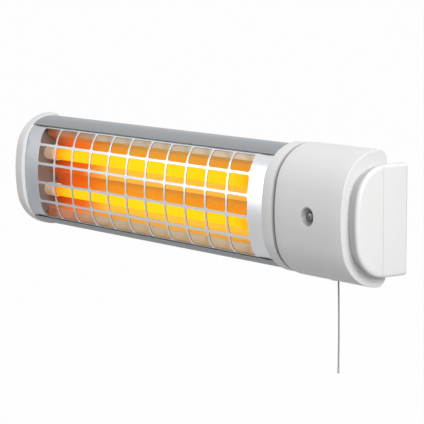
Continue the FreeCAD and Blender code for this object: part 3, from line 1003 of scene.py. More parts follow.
@dataclass(frozen=True)
class DSection:
    """A D-shaped section across X: a round nose, tighter shoulders and a flat back."""

    front: float
    back: float
    half: float
    front_radius: float
    shoulder: float
    corner: float
    least_corner: float = 0.05
    nose_steps: int = 36
    shoulder_steps: int = 22
    corner_steps: int = 8
    back_steps: int = 8

    @property
    def shoulder_z(self) -> float:
        """Height of the upper shoulder's centre."""
        return self.half - self.shoulder

    @property
    def shoulder_y(self) -> float:
        """Depth of the shoulders' centres."""
        reach = math.sqrt((self.front_radius - self.shoulder) ** 2 - self.shoulder_z ** 2)
        return self.front + self.front_radius - reach

    @property
    def blend(self) -> float:
        """Angle from the middle of the nose to the start of a shoulder."""
        return math.atan2(self.shoulder_z, self.front + self.front_radius - self.shoulder_y)

    def nose(self, turn: float, offset: float = 0.0) -> Pair:
        """A point (y, z) on the nose at an angle up from its middle."""
        radius = self.front_radius + offset
        return self.front + self.front_radius - radius * math.cos(turn), radius * math.sin(turn)

    def on_shoulder(self, turn: float, offset: float = 0.0) -> Pair:
        """A point (y, z) on the upper shoulder at an angle up from the front."""
        radius = self.shoulder + offset
        return self.shoulder_y - radius * math.cos(turn), self.shoulder_z + radius * math.sin(turn)

    def at(self, travel: float, offset: float = 0.0) -> Pair:
        """Find the point at a distance along the skin, up from the middle of the nose.

        Args:
            travel: distance along the offset skin.
            offset: distance of that skin outside the section.

        Returns:
            The point (y, z).
        """
        nose_travel = (self.front_radius + offset) * self.blend
        if abs(travel) <= nose_travel:
            return self.nose(travel / (self.front_radius + offset), offset)
        y, z = self.on_shoulder(self.blend + (abs(travel) - nose_travel) / (self.shoulder + offset), offset)
        return y, math.copysign(z, travel)

    def upper(self, offset: float, start: Optional[float] = None) -> list[Pair]:
        """Follow the skin from the shoulder, round the back corner, to the middle of the back.

        Args:
            offset: distance outside the section.
            start: angle on the shoulder to start from, or none for its foot.

        Returns:
            Points (y, z).
        """
        begin = self.blend if start is None else start
        line = [self.on_shoulder(begin + (QUARTER_TURN - begin) * step / self.shoulder_steps, offset)
                for step in range(self.shoulder_steps + 1)]
        radius = max(self.corner + offset, self.least_corner)
        centre_y = self.back + offset - radius
        centre_z = self.half + offset - radius
        for step in range(1, self.corner_steps + 1):
            turn = QUARTER_TURN * step / self.corner_steps
            line.append((centre_y + radius * math.sin(turn), centre_z + radius * math.cos(turn)))
        for step in range(1, self.back_steps + 1):
            line.append((self.back + offset, centre_z * (1 - step / self.back_steps)))
        return line

    def loop(self, x: float, offset: float = 0.0) -> list[Place]:
        """Follow the whole closed section.

        Args:
            x: place along X.
            offset: distance outside the section.

        Returns:
            The loop's points.
        """
        nose = [self.nose(self.blend * step / self.nose_steps, offset)
                for step in range(1 - self.nose_steps, self.nose_steps)]
        return [(x, y, z) for y, z in nose + mirrored(self.upper(offset))]

    def disc(self, x: float, radius: float) -> list[Place]:
        """Follow a circle about the tilt axis with as many points as the section's loop.

        Args:
            x: place along X.
            radius: the circle's radius.

        Returns:
            Points on the rays from the axis to the loop's points.
        """
        points = []
        for _, y, z in self.loop(x):
            share = radius / math.hypot(y - LAYOUT.axis_y, z)
            points.append((x, LAYOUT.axis_y + (y - LAYOUT.axis_y) * share, z * share))
        return points


CASING = DSection(front=-54.0, back=-12.6, half=52.4, front_radius=137.0, shoulder=35.0, corner=4.905)
SHEET = replace(CASING, shoulder=27.0)
BLOCK = DSection(front=-54.4, back=0.0, half=45.5, front_radius=120.0, shoulder=30.0, corner=2.5)


def quarter(x: float, offset: float, radius: float, rising: bool, steps: int = 6) -> list[Pair]:
    """Find the stations (x, offset) of a rounded edge.

    Args:
        x: place of the end face.
        offset: offset of the skin beyond the edge.
        radius: the edge's radius, towards -X from x when falling and towards +X when rising.
        rising: whether the edge climbs from the face to the skin.
        steps: steps across it.

    Returns:
        The stations along +X.
    """
    turns = [QUARTER_TURN * step / steps for step in range(steps + 1)]
    if rising:
        return [(x + radius * (1 - math.cos(turn)), offset - radius * (1 - math.sin(turn))) for turn in turns]
    return [(x - radius * (1 - math.sin(turn)), offset - radius * (1 - math.cos(turn))) for turn in turns]


class GrowthTree(Bench):
    """Geometry nodes with named inputs that end in a plain mesh with a finish."""

    title: str
    kinds: dict[str, str]

    def __init__(self) -> None:
        """Build the node group with its named inputs."""
        super().__init__(bpy.data.node_groups.new(self.title, "GeometryNodeTree"))
        face = self.tree.interface
        face.new_socket("Geometry", in_out="INPUT", socket_type="NodeSocketGeometry")
        self.inputs: dict[str, str] = {}
        for name, kind in {**self.kinds, "Finish": "Material"}.items():
            socket = face.new_socket(name, in_out="INPUT", socket_type="NodeSocket" + kind)
            self.inputs[name] = socket.identifier
        face.new_socket("Geometry", in_out="OUTPUT", socket_type="NodeSocketGeometry")
        self.given = self.add("NodeGroupInput").outputs
        result = self.grow("RealizeInstances", {"Geometry": self.wire()})
        result = self.grow("SetMaterial", {"Geometry": result, "Material": self.given["Finish"]})
        self.add("NodeGroupOutput", {}, {0: result})

    def wire(self) -> bpy.types.NodeSocket:
        """Lay the nodes that make the geometry."""
        raise NotImplementedError

    def size(self, name: str) -> Signal:
        """One of the tree's inputs as a signal."""
        return Signal(self, self.given[name])

    def grow(self, kind: str, sockets: dict, settings: Optional[dict] = None) -> bpy.types.NodeSocket:
        """The first output of a new geometry node."""
        return self.add("GeometryNode" + kind, settings, sockets).outputs[0]


class GrilleTree(GrowthTree):
    """Punches rows of rounded windows in a sheet and rolls it along a section line."""

    title = "rolled_window_sheet"
    kinds = {"Length": "Float", "Girth": "Float", "Columns": "Int", "Rows": "Int", "Column Pitch": "Float",
             "Row Pitch": "Float", "Bar": "Float", "Corner": "Float"}
    edge_cuts = 59
    corner_points = 5
    window_points = 72

    def wire(self) -> bpy.types.NodeSocket:
        """Lay the sheet out flat, fill it round its windows and roll it.

        Returns:
            The rolled sheet.
        """
        girth, columns, rows = self.size("Girth"), self.size("Columns"), self.size("Rows")
        across, down, bar = self.size("Column Pitch"), self.size("Row Pitch"), self.size("Bar")
        edge = self.grow("CurvePrimitiveQuadrilateral", {"Width": self.given["Length"], "Height": girth})
        edge = self.grow("SubdivideCurve", {"Curve": edge, "Cuts": self.edge_cuts})
        window = self.grow("CurvePrimitiveQuadrilateral", {"Width": across - bar, "Height": down - bar})
        window = self.grow("FilletCurve", {
            "Curve": window, "Radius": self.given["Corner"], "Count": self.corner_points}, {"mode": "POLY"})
        window = self.grow("ResampleCurve", {"Curve": window, "Count": self.window_points}, {"mode": "COUNT"})
        spots = self.grow("MeshGrid", {
            "Size X": across * (columns - 1.0), "Size Y": down * (rows - 1.0),
            "Vertices X": columns, "Vertices Y": rows})
        windows = self.grow("InstanceOnPoints", {"Points": spots, "Instance": window})
        windows = self.grow("RealizeInstances", {"Geometry": windows})
        outline = self.grow("JoinGeometry", {0: [edge, windows]})
        sheet = self.grow("FillCurve", {"Curve": outline}, {"mode": "TRIANGLES"})
        flat = self.split(self.grow("InputPosition", {}))
        line = self.grow("MeshToCurve", {"Mesh": self.given["Geometry"]})
        sample = self.add("GeometryNodeSampleCurve", {"mode": "LENGTH", "use_all_curves": True},
                          {"Curves": line, "Length": flat[1] + girth * 0.5})
        rolled = self.split(sample.outputs["Position"])
        spot = self.add("ShaderNodeCombineXYZ", {}, {0: flat[0] + rolled[0], 1: rolled[1], 2: rolled[2]})
        return self.grow("SetPosition", {"Geometry": sheet, "Position": spot.outputs[0]})


class ScrewTree(GrowthTree):
    """Sets a screw head on every point of a mesh."""

    title = "screw_heads"
    kinds = {"Head": "Object", "Size": "Float"}

    def wire(self) -> bpy.types.NodeSocket:
        """Set the heads on the points.

        Returns:
            The heads.
        """
        head = self.add("GeometryNodeObjectInfo", {}, {"Object": self.given["Head"]}).outputs["Geometry"]
        return self.grow("InstanceOnPoints", {
            "Points": self.given["Geometry"], "Instance": head, "Scale": self.given["Size"]})


def grown(name: str, seed: bpy.types.Mesh, tree: GrowthTree, values: dict[str, Any],
          finish: Finish) -> bpy.types.Object:
    """Run a node tree on a seed mesh and keep its result as a plain mesh.

    Args:
        name: the new object's name.
        seed: the mesh that the tree starts from.
        tree: the tree.
        values: its inputs by name.
        finish: the finish of the result.

    Returns:
        The dressed object.
    """
    piece = put(name, seed)
    nodes = piece.modifiers.new("grow", "NODES")
    nodes.node_group = tree.tree
    for key, value in {**values, "Finish": finish.material()}.items():
        nodes[tree.inputs[key]] = value
    baked(piece)
    rounded(piece.data)
    return piece


@dataclass(frozen=True)
class PanHead:
    """A domed screw head with a cross recess, standing on the XZ plane and looking along +Y."""

    radius: float
    height: float
    sides: int = 28
    foot: tuple[Pair, ...] = ((0.96, -0.2), (1.0, 0.1))
    dome: tuple[Pair, ...] = ((1.0, 0.35), (0.93, 0.62), (0.75, 0.86), (0.45, 0.98), (0.2, 1.0))
    blade_half: float = 0.11
    blade_reach: float = 0.6
    blade_levels: tuple[Pair, ...] = ((0.45, 0.55), (1.4, 1.15))

    def build(self, name: str) -> bpy.types.Object:
        """Make the head.

        Args:
            name: the object's name.

        Returns:
            The head, seated at the origin.
        """
        profile = [(share * self.radius, y) for share, y in self.foot]
        profile += [(share * self.radius, rise * self.height) for share, rise in self.dome]
        work = Workpiece()
        work.solid([[(x, y, z) for x, z in circle(radius, self.sides)] for radius, y in profile])
        head = put(name, work.mesh(name))
        for turn in (0.0, QUARTER_TURN):
            carved(head, self.blade(turn))
        return head

    def blade(self, turn: float) -> bpy.types.Mesh:
        """Make one arm of the cross recess.

        Args:
            turn: its angle about +Y.

        Returns:
            The arm, narrower at its floor.
        """
        half = self.radius * self.blade_half
        rings = []
        for rise, share in self.blade_levels:
            reach = self.radius * self.blade_reach * share
            corners = [(-reach, -half), (reach, -half), (reach, half), (-reach, half)]
            rings.append([(x * math.cos(turn) - z * math.sin(turn), rise * self.height,
                           x * math.sin(turn) + z * math.cos(turn)) for x, z in corners])
        work = Workpiece()
        work.solid(rings)
        return work.mesh("blade")


@dataclass
class Assembly:
    """What the sub-assemblies share: the frame, and how pieces are handed over and solids painted."""

    frame: dict

    def build(self) -> None:
        """Make the sub-assembly's own pieces."""
        raise NotImplementedError

    def dress(self) -> None:
        """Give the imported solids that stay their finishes. Some sub-assemblies have none."""

    def hand_over(self, piece: bpy.types.Object, body: Body, finish: Finish, *nodes: str) -> bpy.types.Object:
        """Let a piece ride on its body and hide the nodes that it stands for.

        Args:
            piece: the finished piece.
            body: the body that carries it.
            finish: its finish; not used.
            nodes: the solids that it stands for.

        Returns:
            The piece.
        """
        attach(piece, body.value)
        if nodes:
            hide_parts(*nodes)
        log.info("piece %s on %s", piece.name, body.value)
        return piece

    def paint(self, finish: Finish, *nodes: str) -> None:
        """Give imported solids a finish.

        Args:
            finish: the finish.
            nodes: the solids' names.
        """
        for name in nodes:
            for place in self.frame["nodes"][name].material_slots:
                place.material = finish.material()
            log.info("solid %s wears %s", name, finish.name)


@dataclass
class HeatSection(Assembly):
    """The rolled casing with its grille, reflector, tubes and end mouldings."""

    lip_travel: float = 48.0
    casing_sheet: float = 1.0
    casing_edge: float = 0.3
    casing_steps: int = 24
    columns: int = 11
    rows: int = 5
    column_pitch: float = 30.0
    row_pitch: float = 18.4
    bar: float = 2.5
    window_corner: float = 2.2
    lip_cover: float = 4.6
    grille_play: float = 0.2
    grille_skin: float = -1.1
    grille_sheet: float = 0.8
    grille_edge: float = 0.2
    grille_steps: int = 220
    tube_y: float = -33.0
    tube_radius: float = 5.5
    tube_bore: float = 4.3
    bore_inset: float = 1.0
    tube_lip: tuple[Pair, ...] = ((0.0, 4.3), (0.0, 4.9), (0.3, 5.3), (0.9, 5.5))
    tube_steps: int = 40
    tube_sides: int = 36
    trough_radius: float = 20.0
    trough_behind: float = 10.5
    trough_turn: float = math.radians(45.0)
    trough_steps: int = 40
    flare_turn: float = math.radians(60.0)
    flare: float = 8.0
    flange_gap: float = 1.4
    reflector_half: float = 172.7
    reflector_sheet: float = 0.6
    reflector_edge: float = 0.15
    reflector_steps: int = 30
    reflector_angle: float = 25.0
    far_behind: float = 400.0
    ring_width: float = 14.2
    ring_proud: float = 2.5
    ring_round: float = 1.1
    cap_round: float = 4.0
    cap_steps: int = 8
    groove_round: float = 0.9
    spigot: float = 13.0
    spigot_skin: float = -2.4
    inner_skin: float = -4.0
    end_wall: float = 3.0
    boss_radius: float = 9.0
    boss_depth: float = 12.0
    pivot_bore: float = 4.05
    boss_face: float = 12.0
    neck: float = 13.0
    neck_skin: float = -1.6
    screw_inset: float = 3.2
    screw_z: float = 34.0
    screw_head: PanHead = PanHead(2.6, 1.5)

    def build(self) -> None:
        """Make every piece of the heat section."""
        self.casing()
        self.grille()
        self.reflector()
        self.tubes()
        self.left_cap()
        self.right_ring()
        self.screws()

    def dress(self) -> None:
        """Give the end plates and what holds and feeds the tubes their finishes."""
        self.paint(PALETTE.plate, "end_plate_left", "end_plate_right")
        self.paint(PALETTE.ceramic, "ceramic_holders")
        self.paint(PALETTE.brass, "tube_terminals")
        self.paint(PALETTE.winding, "heating_coil_upper", "heating_coil_lower")
        self.paint(PALETTE.switch, "thermal_cutout")

    def casing(self) -> None:
        """Roll the sheet from lip to lip round the back."""
        start = SHEET.blend + (self.lip_travel - SHEET.front_radius * SHEET.blend) / SHEET.shoulder
        work = Workpiece()
        work.sweep(mirrored(SHEET.upper(0.0, start)), LAYOUT.left, LAYOUT.right, self.casing_steps)
        mesh = work.mesh("casing_sheet")
        face_out(mesh, LAYOUT.middle, LAYOUT.axis_y)
        piece = stand(mesh, PALETTE.casing)
        thicken(piece, self.casing_sheet, self.casing_edge)
        self.hand_over(piece, Body.HEATER, PALETTE.casing, "outer_casing")

    def grille(self) -> None:
        """Grow the window sheet along the section line."""
        half_girth = self.lip_travel + self.lip_cover
        steps = self.grille_steps
        line = [SHEET.at(half_girth * (2 * step / steps - 1), self.grille_skin) for step in range(steps + 1)]
        seed = bpy.data.meshes.new("grille_line")
        seed.from_pydata([metres((LAYOUT.middle, y, z)) for y, z in line],
                         [(step, step + 1) for step in range(steps)], [])
        sizes = {"Length": LAYOUT.right - LAYOUT.left - self.grille_play, "Girth": 2 * half_girth,
                 "Column Pitch": self.column_pitch, "Row Pitch": self.row_pitch, "Bar": self.bar,
                 "Corner": self.window_corner}
        values = {name: size * MM for name, size in sizes.items()}
        values.update({"Columns": self.columns, "Rows": self.rows})
        piece = grown("grille_sheet", seed, GrilleTree(), values, PALETTE.grille)
        face_out(piece.data, LAYOUT.middle, self.far_behind)
        thicken(piece, self.grille_sheet, self.grille_edge, rim=PALETTE.shaded_cut_edge)
        self.hand_over(piece, Body.HEATER, PALETTE.grille, "front_grille")

    def reflector_line(self) -> list[Pair]:
        """Follow the polished side of the reflector from the upper flange to the lower one.

        Returns:
            Points (y, z).
        """
        ridge = -math.asin(LAYOUT.tube_z / self.trough_radius)
        trough = []
        for step in range(self.trough_steps + 1):
            turn = ridge + (self.trough_turn - ridge) * step / self.trough_steps
            trough.append((self.tube_y + self.trough_behind - self.trough_radius * (1 - math.cos(turn)),
                           LAYOUT.tube_z + self.trough_radius * math.sin(turn)))
        foot_y, foot_z = trough[-1]
        bend_y = foot_y - self.flare * math.sin(self.flare_turn)
        bend_z = foot_z + self.flare * math.cos(self.flare_turn)
        edge_turn = math.acos((SHEET.shoulder_y - bend_y) / (SHEET.shoulder - self.flange_gap))
        edge_z = SHEET.on_shoulder(edge_turn, -self.flange_gap)[1]
        flange = [((foot_y + bend_y) / 2, (foot_z + bend_z) / 2), (bend_y, bend_z), (bend_y, edge_z)]
        return mirrored(list(reversed(trough + flange)))

    def reflector(self) -> None:
        """Draw the twin-trough sheet behind the tubes."""
        work = Workpiece()
        work.sweep(self.reflector_line(), LAYOUT.middle - self.reflector_half,
                   LAYOUT.middle + self.reflector_half, self.reflector_steps)
        mesh = work.mesh("reflector_sheet")
        face_out(mesh, LAYOUT.middle, self.far_behind)
        piece = stand(mesh, PALETTE.reflector, self.reflector_angle)
        thicken(piece, self.reflector_sheet, self.reflector_edge, 1)
        self.hand_over(piece, Body.HEATER, PALETTE.reflector, "reflector")

    def tubes(self) -> None:
        """Draw the quartz tubes with fire-polished ends."""
        half = LAYOUT.tube_half
        lip = [(inset - half, radius) for inset, radius in self.tube_lip]
        stations = lip + [(half * (2 * step / self.tube_steps - 1), self.tube_radius)
                          for step in range(1, self.tube_steps)]
        stations += [(-along, radius) for along, radius in reversed(lip)]
        bore_half = half - self.bore_inset
        stations += [(bore_half, self.tube_bore), (-bore_half, self.tube_bore), lip[0]]
        for name, height in (("upper", LAYOUT.tube_z), ("lower", -LAYOUT.tube_z)):
            work = Workpiece()
            work.loft([[(LAYOUT.middle + along, self.tube_y + u, height + v)
                        for u, v in circle(radius, self.tube_sides)] for along, radius in stations])
            piece = stand(work.mesh("quartz_" + name), PALETTE.quartz)
            self.hand_over(piece, Body.HEATER, PALETTE.quartz, "quartz_tube_" + name)

    def left_cap(self) -> None:
        """Mould the proud ring and closed end on the left, bored for the pivot bolt."""
        inner, outer = LAYOUT.left, LAYOUT.left - self.ring_width
        floor, boss, mouth = outer + self.end_wall, outer + self.boss_depth, inner + self.spigot
        discs = [(floor, self.boss_radius), (boss, self.boss_radius), (boss, self.pivot_bore),
                 (outer, self.pivot_bore), (outer, self.boss_face)]
        stations = quarter(outer, self.ring_proud, self.cap_round, True, self.cap_steps)
        stations += quarter(inner, self.ring_proud, self.ring_round, False)
        stations += [(inner, self.spigot_skin), (mouth, self.spigot_skin), (mouth, self.inner_skin),
                     (floor, self.inner_skin)]
        rings = [CASING.disc(x, radius) for x, radius in discs]
        rings += [CASING.loop(x, offset) for x, offset in stations]
        work = Workpiece()
        work.loft(rings + rings[:1])
        piece = stand(work.mesh("left_cap"), PALETTE.housing)
        self.hand_over(piece, Body.HEATER, PALETTE.housing, "left_end_cap")

    def right_ring(self) -> None:
        """Mould the proud ring beside the control box, with the neck and the partition behind it."""
        inner, outer = LAYOUT.right, LAYOUT.right + self.ring_width
        mouth, neck = inner - self.spigot, outer + self.neck
        stations = [(mouth, self.inner_skin), (mouth, self.spigot_skin), (inner, self.spigot_skin)]
        stations += quarter(inner, self.ring_proud, self.ring_round, True)
        stations += quarter(outer, self.ring_proud, self.groove_round, False)
        stations += [(outer, self.neck_skin), (neck, self.neck_skin), (neck, self.inner_skin),
                     (outer, self.inner_skin)]
        work = Workpiece()
        rows = work.loft([CASING.loop(x, offset) for x, offset in stations])
        inside = work.ring(CASING.loop(outer - self.end_wall, self.inner_skin))
        work.faces += [tuple(rows[-1]), tuple(inside)]
        work.bridge(inside, rows[0])
        piece = stand(work.mesh("right_ring"), PALETTE.housing)
        self.hand_over(piece, Body.HEATER, PALETTE.housing, "right_end_ring")

    def screws(self) -> None:
        """Set the small screws that hold the casing's back to the end mouldings."""
        head = self.screw_head.build("casing_screw_form")
        places = (LAYOUT.left + self.screw_inset, LAYOUT.right - self.screw_inset)
        spots = [metres((x, CASING.back, z)) for x in places for z in (-self.screw_z, self.screw_z)]
        seed = bpy.data.meshes.new("casing_screw_spots")
        seed.from_pydata(spots, [], [])
        piece = grown("casing_screws", seed, ScrewTree(), {"Head": head, "Size": 1.0}, PALETTE.steel)
        bpy.data.objects.remove(head)
        self.hand_over(piece, Body.HEATER, PALETTE.steel)


def softened(value: float, ease: float, sharpness: float = 2.2, most: float = 40.0) -> float:
    """Bend a value smoothly to nought where it falls below nought.

    Args:
        value: the value.
        ease: how wide the bend is.
        sharpness: how soon the bend follows the value.
        most: largest power of e that is worked out.

    Returns:
        The softened value.
    """
    return ease * math.log1p(math.exp(min(most, sharpness * value / ease))) / sharpness


@dataclass
class ControlBox(Assembly):
    """The switch housing at the right-hand end and what sits in it."""

    start: float = 164.025
    start_round: float = 0.9
    rebate: float = 12.0
    rebate_skin: float = -1.5
    mouth_wall: float = 6.2
    proud: float = 3.4
    rim: float = 248.0
    rim_round: float = 0.9
    rim_steps: int = 5
    rim_support: float = 1.4
    rim_wall: float = 4.5
    end_wall: float = 2.5
    boss_end: float = 250.425
    boss_radius: float = 17.3
    boss_bore: float = 16.3
    recess_radius: float = 7.75
    recess_floor: float = 5.0
    recess_depth: float = 5.0
    recess_ease: float = 0.9
    recess_margin: float = 0.5
    recess_steps: int = 44
    cuts_before: Pair = (10.0, 20.0)
    cuts_after: Pair = (7.0, 16.0)
    nose_steps: int = 44
    shoulder_steps: int = 26
    screw_head: PanHead = PanHead(4.0, 2.6)
    bush_hole: float = 11.0
    bush_drill: Pair = (-62.0, -46.0)
    inlet: Pair = (226.025, -30.0)
    inlet_hole: float = 11.1
    inlet_drill: Pair = (-16.0, -4.0)

    def build(self) -> None:
        """Make the housing and its screw."""
        self.housing()
        self.screw()

    def dress(self) -> None:
        """Give the bush, the trunnion and the inner parts their finishes."""
        self.paint(PALETTE.housing, "cord_bush")
        self.paint(PALETTE.bracket, "trunnion_right", "trunnion_nut")
        self.paint(PALETTE.plate, "control_chassis")
        self.paint(PALETTE.switch, "terminal_block", "pull_switch_body", "switch_plunger")
        self.paint(PALETTE.rubber, "mains_grommet")

    def sink(self, point: Place) -> Place:
        """Sink a point of the housing's skin where it lies in the screw recess.

        Args:
            point: the point on the plain skin.

        Returns:
            The point, sunk or as it was.
        """
        x, y, z = point
        away = math.hypot(x - LAYOUT.screw_x, z)
        ease = self.recess_ease
        if y > LAYOUT.axis_y or away > self.recess_radius + ease:
            return point
        depth = self.recess_depth * (self.recess_radius - away) / (self.recess_radius - self.recess_floor)
        depth = self.recess_depth - softened(self.recess_depth - softened(depth, ease), ease)
        fade = min(1.0, (self.recess_radius + ease - away) / ease)
        return x, y + max(0.0, depth) * fade, z

    def stations(self) -> list[Pair]:
        """Find the stations (x, offset) of the housing's outer skin, closer together at the recess.

        Returns:
            The stations from the rebate's end to the rim.
        """
        reach = self.recess_radius + self.recess_ease + self.recess_margin
        cuts = [self.start + away for away in self.cuts_before]
        cuts += [LAYOUT.screw_x + reach * (2 * step / self.recess_steps - 1)
                 for step in range(self.recess_steps + 1)]
        cuts += [LAYOUT.screw_x + reach + away for away in self.cuts_after]
        stations = [(self.start + self.rebate, self.rebate_skin), (self.start, self.rebate_skin)]
        stations += quarter(self.start, self.proud, self.start_round, True)
        stations += [(x, self.proud) for x in cuts]
        stations += quarter(self.rim, self.proud, self.rim_round, False, self.rim_steps)
        return stations + [(self.rim, self.proud - self.rim_support * self.rim_round)]

    def housing(self) -> None:
        """Mould the cup with its flat end and boss, the screw recess and the holes."""
        section = replace(CASING, nose_steps=self.nose_steps, shoulder_steps=self.shoulder_steps)
        inner_rim, inner_end = self.rim - self.end_wall, self.boss_end - self.end_wall
        bore = LAYOUT.bearing_radius
        discs = [(self.rim, self.boss_radius), (self.boss_end, self.boss_radius), (self.boss_end, bore),
                 (inner_end, bore), (inner_end, self.boss_bore), (inner_rim, self.boss_bore)]
        rings = [[self.sink(point) for point in section.loop(x, offset)] for x, offset in self.stations()]
        rings += [section.disc(x, radius) for x, radius in discs]
        rings += [section.loop(inner_rim, self.proud - self.rim_wall),
                  section.loop(self.start + self.rebate, self.proud - self.mouth_wall)]
        work = Workpiece()
        work.loft(rings + rings[:1])
        piece = stand(work.mesh("switch_housing"), PALETTE.housing)
        bush = [(*LAYOUT.cord, z) for z in self.bush_drill]
        inlet = [(self.inlet[0], y, self.inlet[1]) for y in self.inlet_drill]
        drilled(piece, [(*bush, self.bush_hole), (*inlet, self.inlet_hole)])
        rounded(piece.data)
        self.hand_over(piece, Body.HEATER, PALETTE.housing, "control_box")

    def screw(self) -> None:
        """Set the cross-head screw on the floor of the recess."""
        head = self.screw_head.build("box_screw")
        floor = metres((LAYOUT.screw_x, CASING.front - self.proud + self.recess_depth, 0.0))
        head.data.transform(Matrix.Translation(floor) @ Matrix.Rotation(math.pi, 4, "Z"))
        coated(head.data, PALETTE.steel)
        self.hand_over(head, Body.HEATER, PALETTE.steel, "control_box_screw")


@dataclass
class WallBracket(Assembly):
    """The split block at the right, the hidden bracket at the left, and the pivots."""

    root: float = 248.5
    web: float = 250.925
    end: float = 263.925
    wall: float = 1.2
    edge: float = 3.2
    edge_steps: int = 8
    waist: float = 4.4
    rim: float = 2.8
    draft: float = math.radians(20.0)
    draft_steps: int = 3
    parting: float = 0.3
    cut_distance_m: float = 1e-7
    hole_x: float = 257.425
    hole_z: float = 33.0
    hole: float = 4.5
    hole_drill: Pair = (-6.0, 3.0)

    def build(self) -> None:
        """Make both halves of the right-hand block."""
        self.block_half("bracket_cap_right", -1.0)
        self.block_half("bracket_foot_right", 1.0)

    def dress(self) -> None:
        """Give the left-hand bracket, its pivot and the washers their finishes."""
        self.paint(PALETTE.bracket, "bracket_left")
        self.paint(PALETTE.steel, "pivot_bolt_left", "pivot_nut_left")
        self.paint(PALETTE.fibre, "friction_washers")

    @staticmethod
    def narrowed(inset: float, lift: float) -> DSection:
        """The block's section drawn in at the nose and sides, and lifted off the wall."""
        return replace(BLOCK, front=BLOCK.front + inset, back=BLOCK.back - lift, half=BLOCK.half - inset,
                       front_radius=BLOCK.front_radius - inset, shoulder=BLOCK.shoulder - inset)

    def skin(self, name: str) -> bpy.types.Mesh:
        """Make the skin of the whole block: the web, the socket, the flared wall and the outer face.

        Args:
            name: the mesh's name.

        Returns:
            The skin, open at the bearing.
        """
        socket = self.narrowed(self.waist + self.rim, self.rim)
        rings = [BLOCK.disc(self.web, LAYOUT.bearing_radius), socket.loop(self.web), socket.loop(self.root)]
        rings.append(self.narrowed(self.waist, 0.0).loop(self.root))
        turns = [-self.draft * step / self.draft_steps for step in range(self.draft_steps, 0, -1)]
        stations = [(self.end - self.edge * (1 - math.sin(turn)), -self.edge * (1 - math.cos(turn)))
                    for turn in turns]
        stations += quarter(self.end, 0.0, self.edge, False, self.edge_steps)
        work = Workpiece()
        rows = work.loft(rings + [BLOCK.loop(x, offset) for x, offset in stations])
        work.faces.append(tuple(rows[-1]))
        return work.mesh(name)

    def block_half(self, node: str, side: float) -> None:
        """Make one half of the hollow block, cut at the parting plane.

        Args:
            node: the solid that it stands for.
            side: -1 for the half towards the room and 1 for the half at the wall.
        """
        mesh = self.skin(node + "_shell")
        cut = bmesh.new()
        cut.from_mesh(mesh)
        plane = metres((0.0, LAYOUT.axis_y + side * self.parting / 2, 0.0))
        bmesh.ops.bisect_plane(cut, geom=cut.verts[:] + cut.edges[:] + cut.faces[:], dist=self.cut_distance_m,
                               plane_co=plane, plane_no=(0.0, -side, 0.0), clear_outer=True)
        cut.to_mesh(mesh)
        cut.free()
        face_out(mesh, self.hole_x, LAYOUT.axis_y)
        piece = stand(mesh, PALETTE.bracket)
        shell = piece.modifiers.new("wall", "SOLIDIFY")
        shell.thickness = self.wall * MM
        shell.offset = -1.0
        baked(piece)
        if side > 0:
            start, end = self.hole_drill
            drilled(piece, [((self.hole_x, start, z), (self.hole_x, end, z), self.hole)
                            for z in (-self.hole_z, self.hole_z)])
        rounded(piece.data)
        self.hand_over(piece, Body.BRACKET, PALETTE.bracket, node)


@dataclass
class PullCord(Assembly):
    """The cord that works the switch, and the ferrule on its end."""

    diameter: float = 1.4
    route: tuple[Place, ...] = ((200.025, -19.0, -38.5), (200.6, -19.0, -48.0), (201.3, -19.0, -60.0),
                                (201.8, -18.9, -85.0), (201.9, -18.9, -108.0), (201.9, -19.0, -129.5))
    route_order: int = 3
    route_steps: int = 16
    round_steps: int = 5
    tip_top: float = -128.77
    tip_end: float = -133.77
    tip_radius: float = 0.9
    tip_bore: float = 0.7
    tip_chamfer: float = 0.15
    tip_sides: int = 24
    crimps: Pair = (1.45, 2.85)
    crimp_half: float = 0.25
    crimp_radius: float = 0.8
    dome: tuple[Pair, ...] = ((0.6, 0.9), (0.25, 0.8), (0.08, 0.6), (0.0, 0.35))

    def build(self) -> None:
        """Hang the cord and close its end."""
        tip = self.tip()
        curve = bpy.data.curves.new("pull_cord_line", "CURVE")
        curve.dimensions = "3D"
        spline = curve.splines.new("NURBS")
        spline.points.add(len(self.route) - 1)
        for point, place in zip(spline.points, self.route):
            point.co = (*metres(place), 1.0)
        spline.order_u = self.route_order
        spline.use_endpoint_u = True
        spline.resolution_u = self.route_steps
        curve.bevel_depth = self.diameter / 2 * MM
        curve.bevel_resolution = self.round_steps
        curve.use_fill_caps = True
        curve.materials.append(PALETTE.braid.material())
        cord = put("pull_cord_braid", curve)
        self.hand_over(cord, Body.CORD, PALETTE.braid, "pull_cord")
        metres(self.route[0])

    def tip(self) -> bpy.types.Object:
        """Make the crimped ferrule with its domed end.

        Returns:
            The ferrule.
        """
        x, y, _ = self.route[-1]
        profile = [(0.0, self.tip_bore), (0.0, self.crimp_radius), (self.tip_chamfer, self.tip_radius)]
        for crimp in self.crimps:
            profile += [(crimp - self.crimp_half, self.tip_radius), (crimp, self.crimp_radius),
                        (crimp + self.crimp_half, self.tip_radius)]
        levels = [(self.tip_top - fall, radius) for fall, radius in profile]
        levels += [(self.tip_end + rise, radius) for rise, radius in self.dome]
        work = Workpiece()
        work.solid([[(x + u, y + v, z) for u, v in circle(radius, self.tip_sides)] for z, radius in levels])
        piece = stand(work.mesh("cord_ferrule"), PALETTE.switch)
        return self.hand_over(piece, Body.CORD, PALETTE.switch, "cord_tip")


@dataclass(frozen=True)
class Lamp:
    """A soft square lamp: where it stands and looks, its side, and its power in watts."""

    name: str
    place: Place
    target: Place
    side: float
    power: float

    def build(self) -> None:
        """Hang the lamp."""
        data = bpy.data.lights.new(self.name, "AREA")
        data.shape = "SQUARE"
        data.size = self.side
        data.energy = self.power
        lamp = put(self.name, data)
        lamp.location = self.place
        lamp.rotation_euler = (Vector(self.target) - Vector(self.place)).to_track_quat("-Z", "Y").to_euler()


